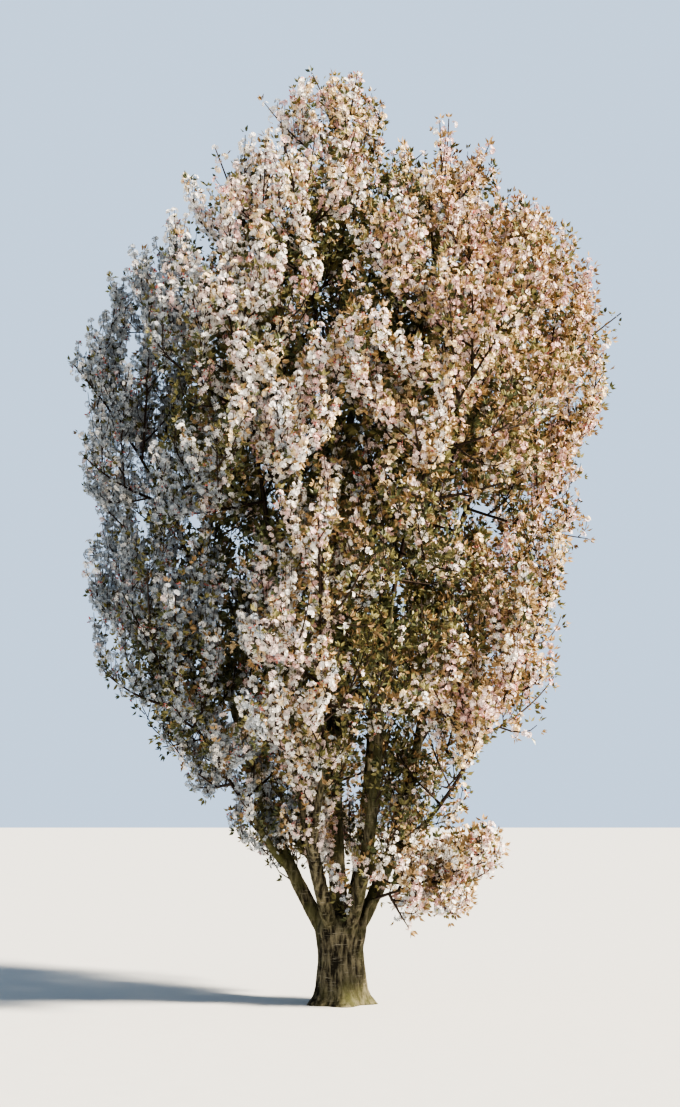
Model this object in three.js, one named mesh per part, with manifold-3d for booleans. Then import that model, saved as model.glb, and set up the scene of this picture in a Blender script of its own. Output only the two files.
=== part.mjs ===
// A flowering cherry tree with ascending boughs, rooted in the ground.
// Units are millimetres and +Z is up. The origin is the middle of the flat cut at ground level.
// The trunk divides low down. Boughs rise from its head to a crown of separate masses of blossom,
// and each mass is a stem with branches that end in sleeves of blossom, all grown by one seeded rule.
import * as THREE from "three";
import { mergeVertices } from "three/addons/utils/BufferGeometryUtils.js";
import Module from "manifold-3d";

const wasm = await Module();
wasm.setup();
const { Manifold, Mesh } = wasm;

// Driving sizes of the tree
const treeHeight = 6950;
const trunkHeight = 640;
const waistRadius = 163;
const rootFlareRadius = 240;
const crownRadius = 2110;
const widestLevel = 4600;
const crownFloor = 1300;

// Gaps: where one piece is seated on another, between masses, and between twigs and limbs.
// Edges shorter than scrapSize that fusing leaves are taken out.
const seatGap = 0.3;
const massGap = 14;
const limbGap = 12;
const scrapSize = 4;

// The trunk's outline from the ground up: [share of waistRadius, share of trunkHeight].
// Its first point is at the root flare.
const trunkOutline = [
  [1.21, 0.1],
  [1.08, 0.3],
  [1, 0.58],
  [1.12, 0.82],
  [0.92, 0.96],
  [0.5, 1],
];
const trunkCrown = 1.02;
const buttresses = { count: 5, turn: 0.6, depth: 0.13, fade: 0.22 };
const flutes = { count: 3, turn: -0.4, depth: 0.03 };
const trunkSides = 18;
const trunkSteps = 9;

// The crown's outline: how it narrows below and above its widest level, and how its axis sways with height
const lowerNarrowing = 0.26;
const lowerRoundness = 8;
const upperNarrowing = 0.94;
const upperRoundness = 1.75;
const axisSway = { reach: 120, centre: 10, level: 5150, period: 5400 };

// Rings of masses round the crown, from below. Each point is [distance from the axis, height].
// turn is the first mass's compass turn in degrees, counted from +X towards +Y.
const rings = {
  lower: { count: 6, turn: 32, centre: [1200, 2250], foot: [760, 1560], tip: [1700, 3020] },
  middle: { count: 6, turn: 4, centre: [1300, 3800], foot: [900, 3060], tip: [2080, 4810] },
  upper: { count: 5, turn: 36, centre: [920, 5420], foot: [600, 4680], tip: [1220, 6140] },
};
const topMass = { turn: 180, centre: [0, 6400], foot: [0, 5540], tip: [200, 6910] };

// The branch low on the trunk keeps within a reach of its own line, and its twigs are scaled down
const lowMass = { turn: -26, centre: [720, 900], foot: [280, 740], tip: [1120, 1010] };
const lowReach = 290;
const lowScale = 0.64;
const ringTurnJitter = 5;
const ringHeightStagger = 190;
const ringHeightJitter = 60;

// Limbs: radius where each kind starts and ends
const limbRadii = {
  main: [56, 19],
  side: [38, 16],
  upper: [33, 15],
  leader: [66, 18],
  low: [29, 13],
};

// Where limbs leave the trunk as [distance from its axis, height], or their parent as a share of its length
const leaderRoot = [0, 580];
const mainRoot = [92, 470];
const lowRoot = [120, 400];
const sideBoughAt = [0.16, 0.22];
const upperBoughAt = [0.34, 0.5];

// How each kind of limb leaves and arrives: [outwards, upwards]. A side bough's is added to its parent's.
const leaving = { leader: [0.08, 1], main: [0.62, 1], side: [0.75, 0.1], upper: [0.55, 1], low: [1, 0.9] };
const arriving = { leader: [0, 1], main: [0.3, 1], side: [0.8, 1], upper: [0.25, 1], low: [1, 0.35] };
const handleShares = [0.36, 0.34];
const boughSides = 6;
const boughSteps = 7;

// Twigs within a mass: the stem, and the branches round it. Each is a bar that ends inside a sleeve.
const stemRadii = [20, 12];
const branchRadii = [14, 9];
const twigSides = 3;
const stemSteps = 3;
const branchSteps = 1;
const branchesPerMass = 9;
const branchSpan = [0.04, 0.74];
const branchSpread = [97, 30];
const branchLengths = [1300, 760];
const shortestBranch = 330;
const branchUpturn = [0.04, 0.36];
const sideUpturn = 0.3;
const headingTries = 7;
const shrink = 0.94;

// Sleeves of blossom: spindles that carry each twig on to its tip and stand along its sides
const sleeveStart = 0.36;
const barEnd = 0.5;
const sleeveSlimness = 0.36;
const sleeveWidest = 240;
const sideSleevesAt = [0.16, 0.42];
const leastRoom = 150;
const roomAt = [0.35, 0.6, 0.85];
const sideSleeveSpread = 56;
const sideSleeveLengths = [640, 260];
const coreAt = [0.3, 0.5, 0.7, 0.95];
const coreShare = 0.42;
const crownSeed = 41;

const barkColour = 0x574638;
const barkRoughness = 0.9;
const blossomRoughness = 0.75;
const blossomColours = { lower: 0xddd6d8, middle: 0xf0dcd6, upper: 0xf4dfda, top: 0xf6e6e4, low: 0xf3dcd4 };
const up = new THREE.Vector3(0, 0, 1);
const nearlyUpright = 0.95;

// Repeatable random numbers from 0 to 1
function randomFrom(seed) {
  let state = seed >>> 0;
  return () => {
    state = (state + 0x6d2b79f5) >>> 0;
    let t = Math.imul(state ^ (state >>> 15), state | 1);
    t ^= t + Math.imul(t ^ (t >>> 7), t | 61);
    return ((t ^ (t >>> 14)) >>> 0) / 4294967296;
  };
}

const mix = (a, b, t) => a + (b - a) * t;
const radians = THREE.MathUtils.degToRad;

// Where the crown's axis stands at a height. Below the crown it is the trunk's own axis.
function axisX(height) {
  if (height < crownFloor) return 0;
  const phase = (2 * Math.PI * (height - axisSway.level)) / axisSway.period;
  return axisSway.centre + axisSway.reach * Math.cos(phase);
}

// A point at a compass turn, a distance from the crown's axis and a height
function polar(turn, distance, height) {
  return new THREE.Vector3(
    axisX(height) + distance * Math.cos(turn),
    distance * Math.sin(turn),
    height,
  );
}

// Solids and meshes
function solidFrom(geometry) {
  const bare = new THREE.BufferGeometry();
  bare.setAttribute("position", geometry.getAttribute("position"));
  bare.setIndex(geometry.index);
  const merged = mergeVertices(bare, 1e-3);
  return new Manifold(
    new Mesh({
      numProp: 3,
      vertProperties: merged.attributes.position.array,
      triVerts: new Uint32Array(merged.index.array),
    }),
  );
}

// The largest body of a solid, without loose scraps or sealed hollows
function mainBody(solid) {
  return solid.decompose().reduce((best, body) => (body.volume() > best.volume() ? body : best));
}

function meshFrom(solid, name, colour, roughness) {
  const { numProp, numVert, vertProperties, triVerts } = solid.getMesh();
  const positions = new Float32Array(numVert * 3);
  for (let i = 0; i < numVert; i++) {
    positions.set(vertProperties.subarray(i * numProp, i * numProp + 3), i * 3);
  }
  const geometry = new THREE.BufferGeometry();
  geometry.setAttribute("position", new THREE.BufferAttribute(positions, 3));
  geometry.setIndex(new THREE.BufferAttribute(triVerts, 1));
  geometry.computeVertexNormals();
  const material = new THREE.MeshStandardMaterial({ color: colour, roughness, metalness: 0 });
  const mesh = new THREE.Mesh(geometry, material);
  mesh.name = name;
  return mesh;
}

// A limb or twig: a round bar bent along a curve, its radius falling evenly from start to end
function taperedBar(curve, [startRadius, endRadius], sides, steps, swell = 0) {
  const frames = curve.computeFrenetFrames(steps);
  const geometry = new THREE.CylinderGeometry(1, 1, 1, sides, steps);
  const place = geometry.getAttribute("position");
  for (let i = 0; i < place.count; i++) {
    const ring = Math.round((0.5 - place.getY(i)) * steps);
    const radius = mix(startRadius, endRadius, ring / steps) + swell;
    const point = curve
      .getPoint(ring / steps)
      .addScaledVector(frames.normals[ring], place.getX(i) * radius)
      .addScaledVector(frames.binormals[ring], place.getZ(i) * radius);
    place.setXYZ(i, point.x, point.y, point.z);
  }
  return geometry;
}

// The trunk's outline, from the flat cut at ground level over the waist to the rounded head
function trunkGeometry(swell = 0) {
  const foot = new THREE.Vector2(rootFlareRadius, 0);
  const rest = trunkOutline.map(([x, y]) => new THREE.Vector2(x * waistRadius, y * trunkHeight));
  const outline = new THREE.SplineCurve([foot, ...rest]);
  const profile = outline.getPoints(trunkSteps).map((p) => new THREE.Vector2(p.x + swell, p.y));
  profile[0].y = 0;
  profile.unshift(new THREE.Vector2(0, 0));
  profile.push(new THREE.Vector2(0, trunkCrown * trunkHeight + swell));
  const geometry = new THREE.LatheGeometry(profile, trunkSides).rotateX(Math.PI / 2);
  const place = geometry.getAttribute("position");
  for (let i = 0; i < place.count; i++) {
    const [x, y, z] = [place.getX(i), place.getY(i), place.getZ(i)];
    const widening = 1 + rootLobes(Math.atan2(y, x), z);
    place.setXYZ(i, x * widening, y * widening, z);
  }
  return geometry;
}

// Root buttresses fade out upwards and slight flutes run on to the head
function rootLobes(turn, height) {
  const wave = ({ count, turn: start, depth }) => depth * Math.cos(count * turn + start);
  return wave(buttresses) * Math.exp(-height / (buttresses.fade * trunkHeight)) + wave(flutes);
}

// The crown's reach from its axis at a height
function crownReach(height) {
  if (height >= widestLevel) {
    const rise = (height - widestLevel) / (treeHeight - widestLevel);
    return crownRadius * (1 - upperNarrowing * rise ** upperRoundness);
  }
  const fall = (widestLevel - height) / (widestLevel - crownFloor);
  return crownRadius * (1 - lowerNarrowing * fall) * Math.sqrt(Math.max(0, 1 - fall ** lowerRoundness));
}

// Masses of the crown, each with the foot where its stem starts and the tip that it grows towards
function layOutMasses() {
  const random = randomFrom(crownSeed);
  const masses = [];

  function place(ring, number, turn, lift, { centre, foot, tip }) {
    const [centrePoint, footPoint] = [centre, foot].map(([d, z]) => polar(turn, d, z + lift));
    const tipHeight = tip[1] + lift;
    const tipReach = ring === "low" ? tip[0] : Math.min(tip[0], crownReach(tipHeight) - massGap);
    const tipPoint = polar(turn, tipReach, tipHeight);
    const scale = ring === "low" ? lowScale : 1;
    const seed = crownSeed + 1 + masses.length;
    masses.push({ ring, number, turn, seed, scale, centre: centrePoint, foot: footPoint, tip: tipPoint });
  }

  for (const [ring, sizes] of Object.entries(rings)) {
    for (let i = 0; i < sizes.count; i++) {
      const turn = sizes.turn + (360 * i) / sizes.count + ringTurnJitter * (2 * random() - 1);
      const stagger = i % 2 ? -ringHeightStagger : ringHeightStagger;
      place(ring, i + 1, radians(turn), stagger + ringHeightJitter * (2 * random() - 1), sizes);
    }
  }
  place("top", 1, radians(topMass.turn), 0, topMass);
  place("low", 1, radians(lowMass.turn), 0, lowMass);
  return masses;
}

// Each mass keeps to the points that are nearer to its centre than to any other, and inside the crown
function inSpace(mass, masses, point) {
  if (mass.ring === "low") {
    const line = new THREE.Line3(mass.foot, mass.tip);
    const nearest = line.closestPointToPoint(point, true, new THREE.Vector3());
    return nearest.distanceTo(point) < lowReach && point.z < crownFloor - massGap;
  }
  if (point.z < crownFloor || point.z > treeHeight) return false;
  if (Math.hypot(point.x - axisX(point.z), point.y) > crownReach(point.z)) return false;
  return masses.every((other) => {
    if (other === mass || other.ring === "low") return true;
    const apart = other.centre.clone().sub(mass.centre);
    const along = point.clone().sub(mass.centre).dot(apart) / apart.length();
    return along < apart.length() / 2 - massGap;
  });
}

// Limbs
const outward = (turn, [out, rise]) => new THREE.Vector3(out * Math.cos(turn), out * Math.sin(turn), rise);

// A limb of one kind on a smooth curve from its root to the foot of its mass
function bough(name, kind, root, heading, mass) {
  const span = root.distanceTo(mass.foot);
  const arrival = outward(mass.turn, arriving[kind]).normalize();
  const curve = new THREE.CubicBezierCurve3(
    root,
    root.clone().addScaledVector(heading.normalize(), handleShares[0] * span),
    mass.foot.clone().addScaledVector(arrival, -handleShares[1] * span),
    mass.foot,
  );
  mass.bough = { name, curve, radii: limbRadii[kind] };
  return mass.bough;
}

function layOutBoughs(masses) {
  const random = randomFrom(crownSeed * 2);
  const of = (ring) => masses.filter((mass) => mass.ring === ring);
  const fromTrunk = (name, kind, mass, root) =>
    bough(name, kind, polar(mass.turn, ...root), outward(mass.turn, leaving[kind]), mass);
  const [leader] = of("top").map((mass) => fromTrunk("leader", "leader", mass, leaderRoot));
  const mains = of("middle").map((mass) => fromTrunk(`bough_${mass.number}`, "main", mass, mainRoot));
  const sides = of("lower").map((mass, i) => {
    const parent = mains[i].curve;
    const at = mix(...sideBoughAt, random());
    const heading = parent.getTangent(at).add(outward(mass.turn, leaving.side));
    return bough(`side_bough_${mass.number}`, "side", parent.getPoint(at), heading, mass);
  });
  const uppers = of("upper").map((mass, i, all) => {
    const at = mix(...upperBoughAt, i / (all.length - 1));
    const heading = outward(mass.turn, leaving.upper);
    return bough(`upper_bough_${mass.number}`, "upper", leader.curve.getPoint(at), heading, mass);
  });
  const lows = of("low").map((mass) => fromTrunk("low_bough", "low", mass, lowRoot));
  return [leader, ...mains, ...sides, ...uppers, ...lows];
}

// The gap between a point and the nearest limb's surface
function limbClearance(limbs, point) {
  let least = Infinity;
  for (const limb of limbs) {
    limb.line ??= limb.curve.getPoints(2 * boughSteps);
    for (let i = 1; i < limb.line.length; i++) {
      const piece = new THREE.Line3(limb.line[i - 1], limb.line[i]);
      const nearest = piece.closestPointToPoint(point, true, new THREE.Vector3());
      const radius = mix(...limb.radii, (i - 0.5) / (limb.line.length - 1));
      least = Math.min(least, nearest.distanceTo(point) - radius);
    }
  }
  return least;
}

// A twig leaves its parent along its heading and turns up towards the light
function twigCurve(start, heading, length, upturn) {
  const middle = start.clone().addScaledVector(heading, 0.5 * length);
  const end = start
    .clone()
    .addScaledVector(heading, (1 - upturn) * length)
    .addScaledVector(up, upturn * length);
  return new THREE.QuadraticBezierCurve3(start, middle, end);
}

// The first share of a twig's curve
function firstPart(curve, share) {
  const bend = curve.v0.clone().lerp(curve.v1, share);
  return new THREE.QuadraticBezierCurve3(curve.v0, bend, curve.getPoint(share));
}

// The heading of a side shoot that leaves a parent's tangent at a spread, turned round it
function sideHeading(tangent, spread, roll) {
  const reference = Math.abs(tangent.z) < nearlyUpright ? up : new THREE.Vector3(1, 0, 0);
  const across = new THREE.Vector3().crossVectors(tangent, reference).normalize();
  across.applyAxisAngle(tangent, roll);
  return tangent.clone().multiplyScalar(Math.cos(spread)).addScaledVector(across, Math.sin(spread));
}

// A closed blade or sleeve of eight faces that starts at its root and points along its heading
function spindle(root, heading, [wide, thick, long], roll) {
  const geometry = new THREE.OctahedronGeometry(1).scale(wide / 2, thick / 2, long / 2).rotateZ(roll);
  geometry.applyQuaternion(new THREE.Quaternion().setFromUnitVectors(up, heading));
  const middle = root.clone().addScaledVector(heading, long / 2);
  return geometry.translate(middle.x, middle.y, middle.z);
}

function cornersOf(geometry) {
  const place = geometry.getAttribute("position");
  return Array.from({ length: place.count }, (_, i) => new THREE.Vector3().fromBufferAttribute(place, i));
}

// Grows one mass: a stem, branches round it and sleeves of blossom on them, each kept to the mass's space
function growMass(mass, masses, limbs) {
  const random = randomFrom(mass.seed);
  const { scale } = mass;
  const parts = [];
  const taken = [];

  const clear = (points, radius) => points.every((point) => limbClearance(limbs, point) > radius + limbGap);
  const inside = (points) => points.every((point) => inSpace(mass, masses, point));
  const room = (points) => {
    const gaps = points.flatMap((point) => taken.map((other) => other.distanceTo(point)));
    return Math.min(2 * crownRadius, ...gaps);
  };

  // A sleeve between two points, or nothing where it would leave the space or touch a limb
  function fittedSleeve(root, tip) {
    const heading = tip.clone().sub(root);
    const long = heading.length();
    heading.normalize();
    const wide = Math.min(sleeveSlimness * long, sleeveWidest);
    const body = spindle(root, heading, [wide, wide, long], heading.x);
    const core = coreAt.map((share) => root.clone().lerp(tip, share));
    if (!inside(cornersOf(body)) || !clear(core, coreShare * wide)) return null;
    return { bodies: [body], points: roomAt.map((share) => root.clone().lerp(tip, share)) };
  }

  // A twig's bar along the first part of its curve and its sleeve on to the tip
  function fittedTwig(curve, radii, steps) {
    const first = firstPart(curve, barEnd);
    const sleeve = fittedSleeve(curve.getPoint(sleeveStart), curve.getPoint(1));
    const points = first.getPoints(4).slice(1);
    if (!sleeve || !inside(points) || !clear(points, radii[0])) return null;
    const bar = taperedBar(first, radii, twigSides, steps);
    return { curve, bodies: [bar, ...sleeve.bodies], points: sleeve.points };
  }

  // The longest growth that fits, from the longest length down to the shortest
  function longestOf([longest, shortest], fitted) {
    for (let length = scale * longest; length >= scale * shortest; length *= shrink) {
      const found = fitted(length);
      if (found) return found;
    }
    return null;
  }

  // Out of a few headings round a parent, the one whose growth lies furthest from the rest
  function addFreest(tangent, spread, lengths, fitted) {
    let best = null;
    for (let attempt = 0; attempt < headingTries; attempt++) {
      const heading = sideHeading(tangent, radians(spread), 2 * Math.PI * random());
      const found = longestOf(lengths, (length) => fitted(heading, length));
      if (found && (!best || room(found.points) > room(best.points))) best = found;
    }
    if (!best || room(best.points) < scale * leastRoom) return null;
    taken.push(...best.points);
    parts.push(...best.bodies);
    return best;
  }

  function addBranch(stem, share) {
    const at = mix(...branchSpan, share);
    const root = stem.getPoint(at);
    const upturn = mix(...branchUpturn, share);
    const lengths = [mix(...branchLengths, share), shortestBranch];
    return addFreest(stem.getTangent(at), mix(...branchSpread, share), lengths, (heading, length) =>
      fittedTwig(twigCurve(root, heading, length, upturn), branchRadii, branchSteps),
    );
  }

  function addSideSleeve(curve, along) {
    const root = curve.getPoint(along);
    return addFreest(curve.getTangent(along), sideSleeveSpread, sideSleeveLengths, (heading, length) =>
      fittedSleeve(root, twigCurve(root, heading, length, sideUpturn).v2),
    );
  }

  const arrival = mass.bough.curve.getTangent(1);
  const start = mass.foot.clone().addScaledVector(arrival, seatGap);
  const reach = start.distanceTo(mass.tip) / scale;
  const main = longestOf([reach, 0.5 * reach], (length) => {
    const end = start.clone().lerp(mass.tip, length / (scale * reach));
    const bend = start.clone().addScaledVector(arrival, 0.5 * length);
    return fittedTwig(new THREE.QuadraticBezierCurve3(start, bend, end), stemRadii, stemSteps);
  });
  parts.push(...main.bodies);
  taken.push(...main.points);
  for (let i = 0; i < branchesPerMass; i++) {
    const branch = addBranch(main.curve, i / (branchesPerMass - 1));
    if (branch) sideSleevesAt.forEach((along) => addSideSleeve(branch.curve, along));
  }
  return mainBody(Manifold.union(parts.map(solidFrom)).simplify(scrapSize));
}

// Assembly: the trunk, then each limb cut to sit on what came before it, then the masses
function buildTree() {
  const tree = new THREE.Group();
  const masses = layOutMasses();
  const limbs = layOutBoughs(masses);
  const trunk = solidFrom(trunkGeometry());
  tree.add(meshFrom(trunk, "trunk", barkColour, barkRoughness));
  const before = [solidFrom(trunkGeometry(seatGap))];
  for (const limb of limbs) {
    let solid = solidFrom(taperedBar(limb.curve, limb.radii, boughSides, boughSteps));
    for (const neighbour of before) solid = solid.subtract(neighbour);
    tree.add(meshFrom(mainBody(solid), limb.name, barkColour, barkRoughness));
    before.push(solidFrom(taperedBar(limb.curve, limb.radii, boughSides, boughSteps, seatGap)));
  }
  for (const mass of masses) {
    const name = mass.ring in rings ? `${mass.ring}_blossom_${mass.number}` : `${mass.ring}_blossom`;
    tree.add(meshFrom(growMass(mass, masses, limbs), name, blossomColours[mass.ring], blossomRoughness));
  }
  return tree;
}

export default buildTree();
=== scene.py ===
"""A flowering cherry tree in full blossom, rooted in the ground, dressed round its solid model.

The boughs, stems and branches follow the same seeded rule as the solids. It is written again here and
carried on to finer shoots, which bear flowers, buds and young leaves. Lengths are metres and +Z is up.
"""

import math
from dataclasses import dataclass
from functools import cache

import bmesh
import bpy
import numpy as np
from bpy.props import FloatProperty, FloatVectorProperty, PointerProperty
from mathutils import Matrix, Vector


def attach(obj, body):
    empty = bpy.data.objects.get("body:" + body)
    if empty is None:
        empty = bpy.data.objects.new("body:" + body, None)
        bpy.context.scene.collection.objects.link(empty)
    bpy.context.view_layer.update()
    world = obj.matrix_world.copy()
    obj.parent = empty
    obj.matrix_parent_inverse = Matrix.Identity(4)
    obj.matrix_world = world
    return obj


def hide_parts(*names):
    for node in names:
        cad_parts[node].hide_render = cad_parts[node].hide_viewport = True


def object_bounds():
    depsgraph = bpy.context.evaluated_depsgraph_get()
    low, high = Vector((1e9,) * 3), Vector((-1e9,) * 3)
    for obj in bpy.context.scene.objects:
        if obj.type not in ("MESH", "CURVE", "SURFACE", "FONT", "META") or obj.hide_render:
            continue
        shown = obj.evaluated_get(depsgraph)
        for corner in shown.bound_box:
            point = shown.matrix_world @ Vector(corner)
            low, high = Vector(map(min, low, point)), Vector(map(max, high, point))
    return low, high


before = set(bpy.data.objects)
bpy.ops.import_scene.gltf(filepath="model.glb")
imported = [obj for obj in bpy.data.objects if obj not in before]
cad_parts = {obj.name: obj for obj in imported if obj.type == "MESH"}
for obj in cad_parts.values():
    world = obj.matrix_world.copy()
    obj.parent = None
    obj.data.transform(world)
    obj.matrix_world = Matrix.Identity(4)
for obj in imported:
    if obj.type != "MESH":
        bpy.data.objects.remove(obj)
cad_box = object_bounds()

bl_info = {
    "name": "Flowering Cherry Tree",
    "version": (1, 0, 0),
    "blender": (4, 5, 0),
    "location": "3D View > Sidebar > Cherry",
    "description": "Bark, twigs, blossom and young leaves for a flowering cherry tree",
    "category": "Object",
}

UP = np.array([0.0, 0.0, 1.0])
ALONG_X = np.array([1.0, 0.0, 0.0])
NEARLY_UPRIGHT = 0.95
GOLDEN_ANGLE = math.radians(137.5)

# Driving sizes of the tree, the same as the solids'
TREE_HEIGHT = 6.95
TRUNK_HEIGHT = 0.64
WAIST_RADIUS = 0.163
ROOT_FLARE_RADIUS = 0.24
CROWN_RADIUS = 2.11
WIDEST_LEVEL = 4.6
CROWN_FLOOR = 1.3
SEAT_GAP = 0.0003
MASS_GAP = 0.014
LIMB_GAP = 0.012

# The trunk's outline from the ground up: share of WAIST_RADIUS, share of TRUNK_HEIGHT
TRUNK_OUTLINE = ((1.21, 0.1), (1.08, 0.3), (1, 0.58), (1.12, 0.82), (0.92, 0.96), (0.5, 1))
TRUNK_SIDES = 48
TRUNK_RINGS = 24
BUTTRESSES = {"count": 5, "turn": 0.6, "depth": 0.13, "fade": 0.22}
FLUTES = {"count": 3, "turn": -0.4, "depth": 0.03}

# How the crown narrows below and above its widest level, and how its axis sways with height
LOWER_NARROWING = 0.26
LOWER_ROUNDNESS = 8
UPPER_NARROWING = 0.94
UPPER_ROUNDNESS = 1.75
AXIS_SWAY = {"reach": 0.12, "centre": 0.01, "level": 5.15, "period": 5.4}

# Rings of masses round the crown: each point is a distance from the axis and a height
RINGS = {
    "lower": {"count": 6, "turn": 32, "centre": (1.2, 2.25), "foot": (0.76, 1.56), "tip": (1.7, 3.02)},
    "middle": {"count": 6, "turn": 4, "centre": (1.3, 3.8), "foot": (0.9, 3.06), "tip": (2.08, 4.81)},
    "upper": {"count": 5, "turn": 36, "centre": (0.92, 5.42), "foot": (0.6, 4.68), "tip": (1.22, 6.14)},
}
TOP_MASS = {"turn": 180, "centre": (0, 6.4), "foot": (0, 5.54), "tip": (0.2, 6.91)}
LOW_MASS = {"turn": -26, "centre": (0.72, 0.9), "foot": (0.28, 0.74), "tip": (1.12, 1.01)}
LOW_REACH = 0.29
LOW_SCALE = 0.64
RING_TURN_JITTER = 5
RING_HEIGHT_STAGGER = 0.19
RING_HEIGHT_JITTER = 0.06

# Limbs: radius at the start and the end, where they leave, and how they leave and arrive
LIMB_RADII = {
    "main": (0.056, 0.019),
    "side": (0.038, 0.016),
    "upper": (0.033, 0.015),
    "leader": (0.066, 0.018),
    "low": (0.029, 0.013),
}
LEADER_ROOT = (0, 0.58)
MAIN_ROOT = (0.092, 0.47)
LOW_ROOT = (0.12, 0.4)
SIDE_BOUGH_AT = (0.16, 0.22)
UPPER_BOUGH_AT = (0.34, 0.5)
LEAVING = {"leader": (0.08, 1), "main": (0.62, 1), "side": (0.75, 0.1), "upper": (0.55, 1), "low": (1, 0.9)}
ARRIVING = {"leader": (0, 1), "main": (0.3, 1), "side": (0.8, 1), "upper": (0.25, 1), "low": (1, 0.35)}
HANDLE_SHARES = (0.36, 0.34)
LIMB_PIECES = 14

# The stem and the branches of a mass, and the side shoots on its branches
BRANCHES_PER_MASS = 9
BRANCH_SPAN = (0.04, 0.74)
BRANCH_SPREAD = (97, 30)
BRANCH_LENGTHS = (1.3, 0.76)
SHORTEST_BRANCH = 0.33
BRANCH_UPTURN = (0.04, 0.36)
SIDE_UPTURN = 0.3
HEADING_TRIES = 7
SHRINK = 0.94
SLEEVE_START = 0.36
BAR_AT = np.array([0.125, 0.25, 0.375, 0.5])
SLEEVE_SLIMNESS = 0.36
SLEEVE_WIDEST = 0.24
SIDE_SHOOTS_AT = (0.16, 0.42)
LEAST_ROOM = 0.15
ROOM_AT = np.array([0.35, 0.6, 0.85])
SIDE_SPREAD = 56
SIDE_LENGTHS = (0.64, 0.26)
CORE_AT = np.array([0.3, 0.5, 0.7, 0.95])
CORE_SHARE = 0.42
CROWN_SEED = 41
TANGENT_STEP = 0.0001
STEM_BAR_RADIUS = 0.02
BRANCH_BAR_RADIUS = 0.014

# Radii of each kind of shoot at its start and its end. A stem starts as thick as its limb ends.
SHOOT_RADII = {
    "stem": (0.021, 0.005),
    "branch": (0.013, 0.0035),
    "side": (0.008, 0.003),
    "fine": (0.0055, 0.0025),
    "finest": (0.004, 0.002),
}

# Finer shoots than the solids have. Each round grows on the limbs and on all the shoots before it.
FINER_FIELDS = ("kind", "every", "span", "spread", "upturn", "lengths", "room", "edge", "deep", "gap")
FINER_ROUNDS = [
    dict(zip(FINER_FIELDS, values))
    for values in (
        ("side", 0.42, (0.25, 0.95), 60, 0.28, (1.5, 0.7), 0.46, 0.35, 1, 1),
        ("side", 0.26, (0.1, 0.95), 52, 0.42, (1.0, 0.5), 0.36, 0.4, 1, 1),
        ("fine", 0.16, (0.12, 0.92), 42, 0.5, (0.6, 0.26), 0.16, 0.3, 0.9, 0.8),
        ("finest", 0.052, (0.14, 0.97), 46, 0.55, (0.2, 0.11), 0.052, 0.1, 0.32, 0.42),
    )
]
FINER_TRIES = 6
FINER_SHRINK = 0.8
FINER_ROOM_AT = np.array([0.7, 1.0])
SHOOT_SAMPLES = 0.06
KEPT_CLEAR = (0.25, 1)
GROWTH_SEED = 110

# The crown's edge is uneven. Waves round it draw finer shoots in: share, count, turn with height, start.
# The top draws them in further, and a share of all that lowers it. They keep this near the solids' box.
EDGE_WAVES = ((0.4, 1, 2.86, 2.41), (0.24, 3, 2.4, 0.4), (0.2, 5, -3.1, 1.7), (0.16, 8, 4.6, 2.9))
TOP_DRAW = {"levels": (5.5, 6.0, 6.2, 6.5), "shares": (0, 0.3, 0.3, 0.05)}
DRAWN_DOWN = 0.5
EDGE_ROOM = 0.02

# Plumes of blossom, and the dark gaps between them, follow many slow waves that cross each other
PLUME_WAVES = 32
PLUME_RISES = np.array([8.5, 8.5, 5.0])
PLUME_SLOWNESS = (0.4, 1)
PLUME_CONTRAST = 1.3
PLUME_SHIFT = 0.18
PLUME_DRAW = 0.2
PLUME_SEED = 23970

# Spurs of blossom and leaves along the shoots: where they start, and how far they stand off
BARE_SHARE = {"stem": 0.3, "branch": 0.22, "side": 0.15, "fine": 0.12, "finest": 0.1}
SPUR_OFFSET = {"stem": 0.04, "branch": 0.03, "side": 0.022, "fine": 0.014, "finest": 0.01}
SPUR_LEAN = {"along": 0.45, "up": 0.2}
SPUR_ROLLS = {"first": 6, "jitter": 0.4}
NEARLY_DOWN = -0.999

# Blossom thins out and leaves thicken this far inside the crown
FULL_DEPTH = 0.5
THIN_DEPTH = 1.1
THIN_SHARE = 0.18

# The rounded regions below are pairs of a centre and a reach, some with the most that they count for.
# Drifts in the front of the crown where the blossom is fullest
DRIFTS = (
    ((0.0, -1.7, 4.1), (0.8, 0.7, 0.42)),
    ((0.62, -1.6, 4.15), (0.4, 0.7, 0.4)),
    ((-0.6, -1.6, 3.75), (0.32, 0.7, 0.3)),
    ((-0.42, -1.45, 2.35), (0.3, 0.7, 0.45)),
    ((-0.34, -1.2, 1.9), (0.36, 0.6, 0.28)),
    ((0.88, -1.0, 2.1), (0.42, 0.7, 0.36)),
    ((-0.7, -1.5, 5.0), (0.5, 0.8, 0.42)),
    ((0.1, -1.3, 5.25), (0.6, 0.8, 0.5)),
    ((-0.05, -0.8, 6.0), (0.8, 1.0, 0.7)),
    ((1.15, -0.9, 5.0), (0.6, 0.9, 0.7)),
    ((-1.4, -0.7, 4.95), (0.35, 0.8, 0.5)),
)
DRIFT_EDGE = 1.6
DRIFT_LIFT = 1.5

# Open sky beside the crown's top, where nothing grows
NOTCHES = (
    ((1.34, -0.4, 6.6), (0.82, 2.6, 0.58)),
    ((-1.32, -0.4, 6.56), (0.72, 2.6, 0.5)),
)

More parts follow.
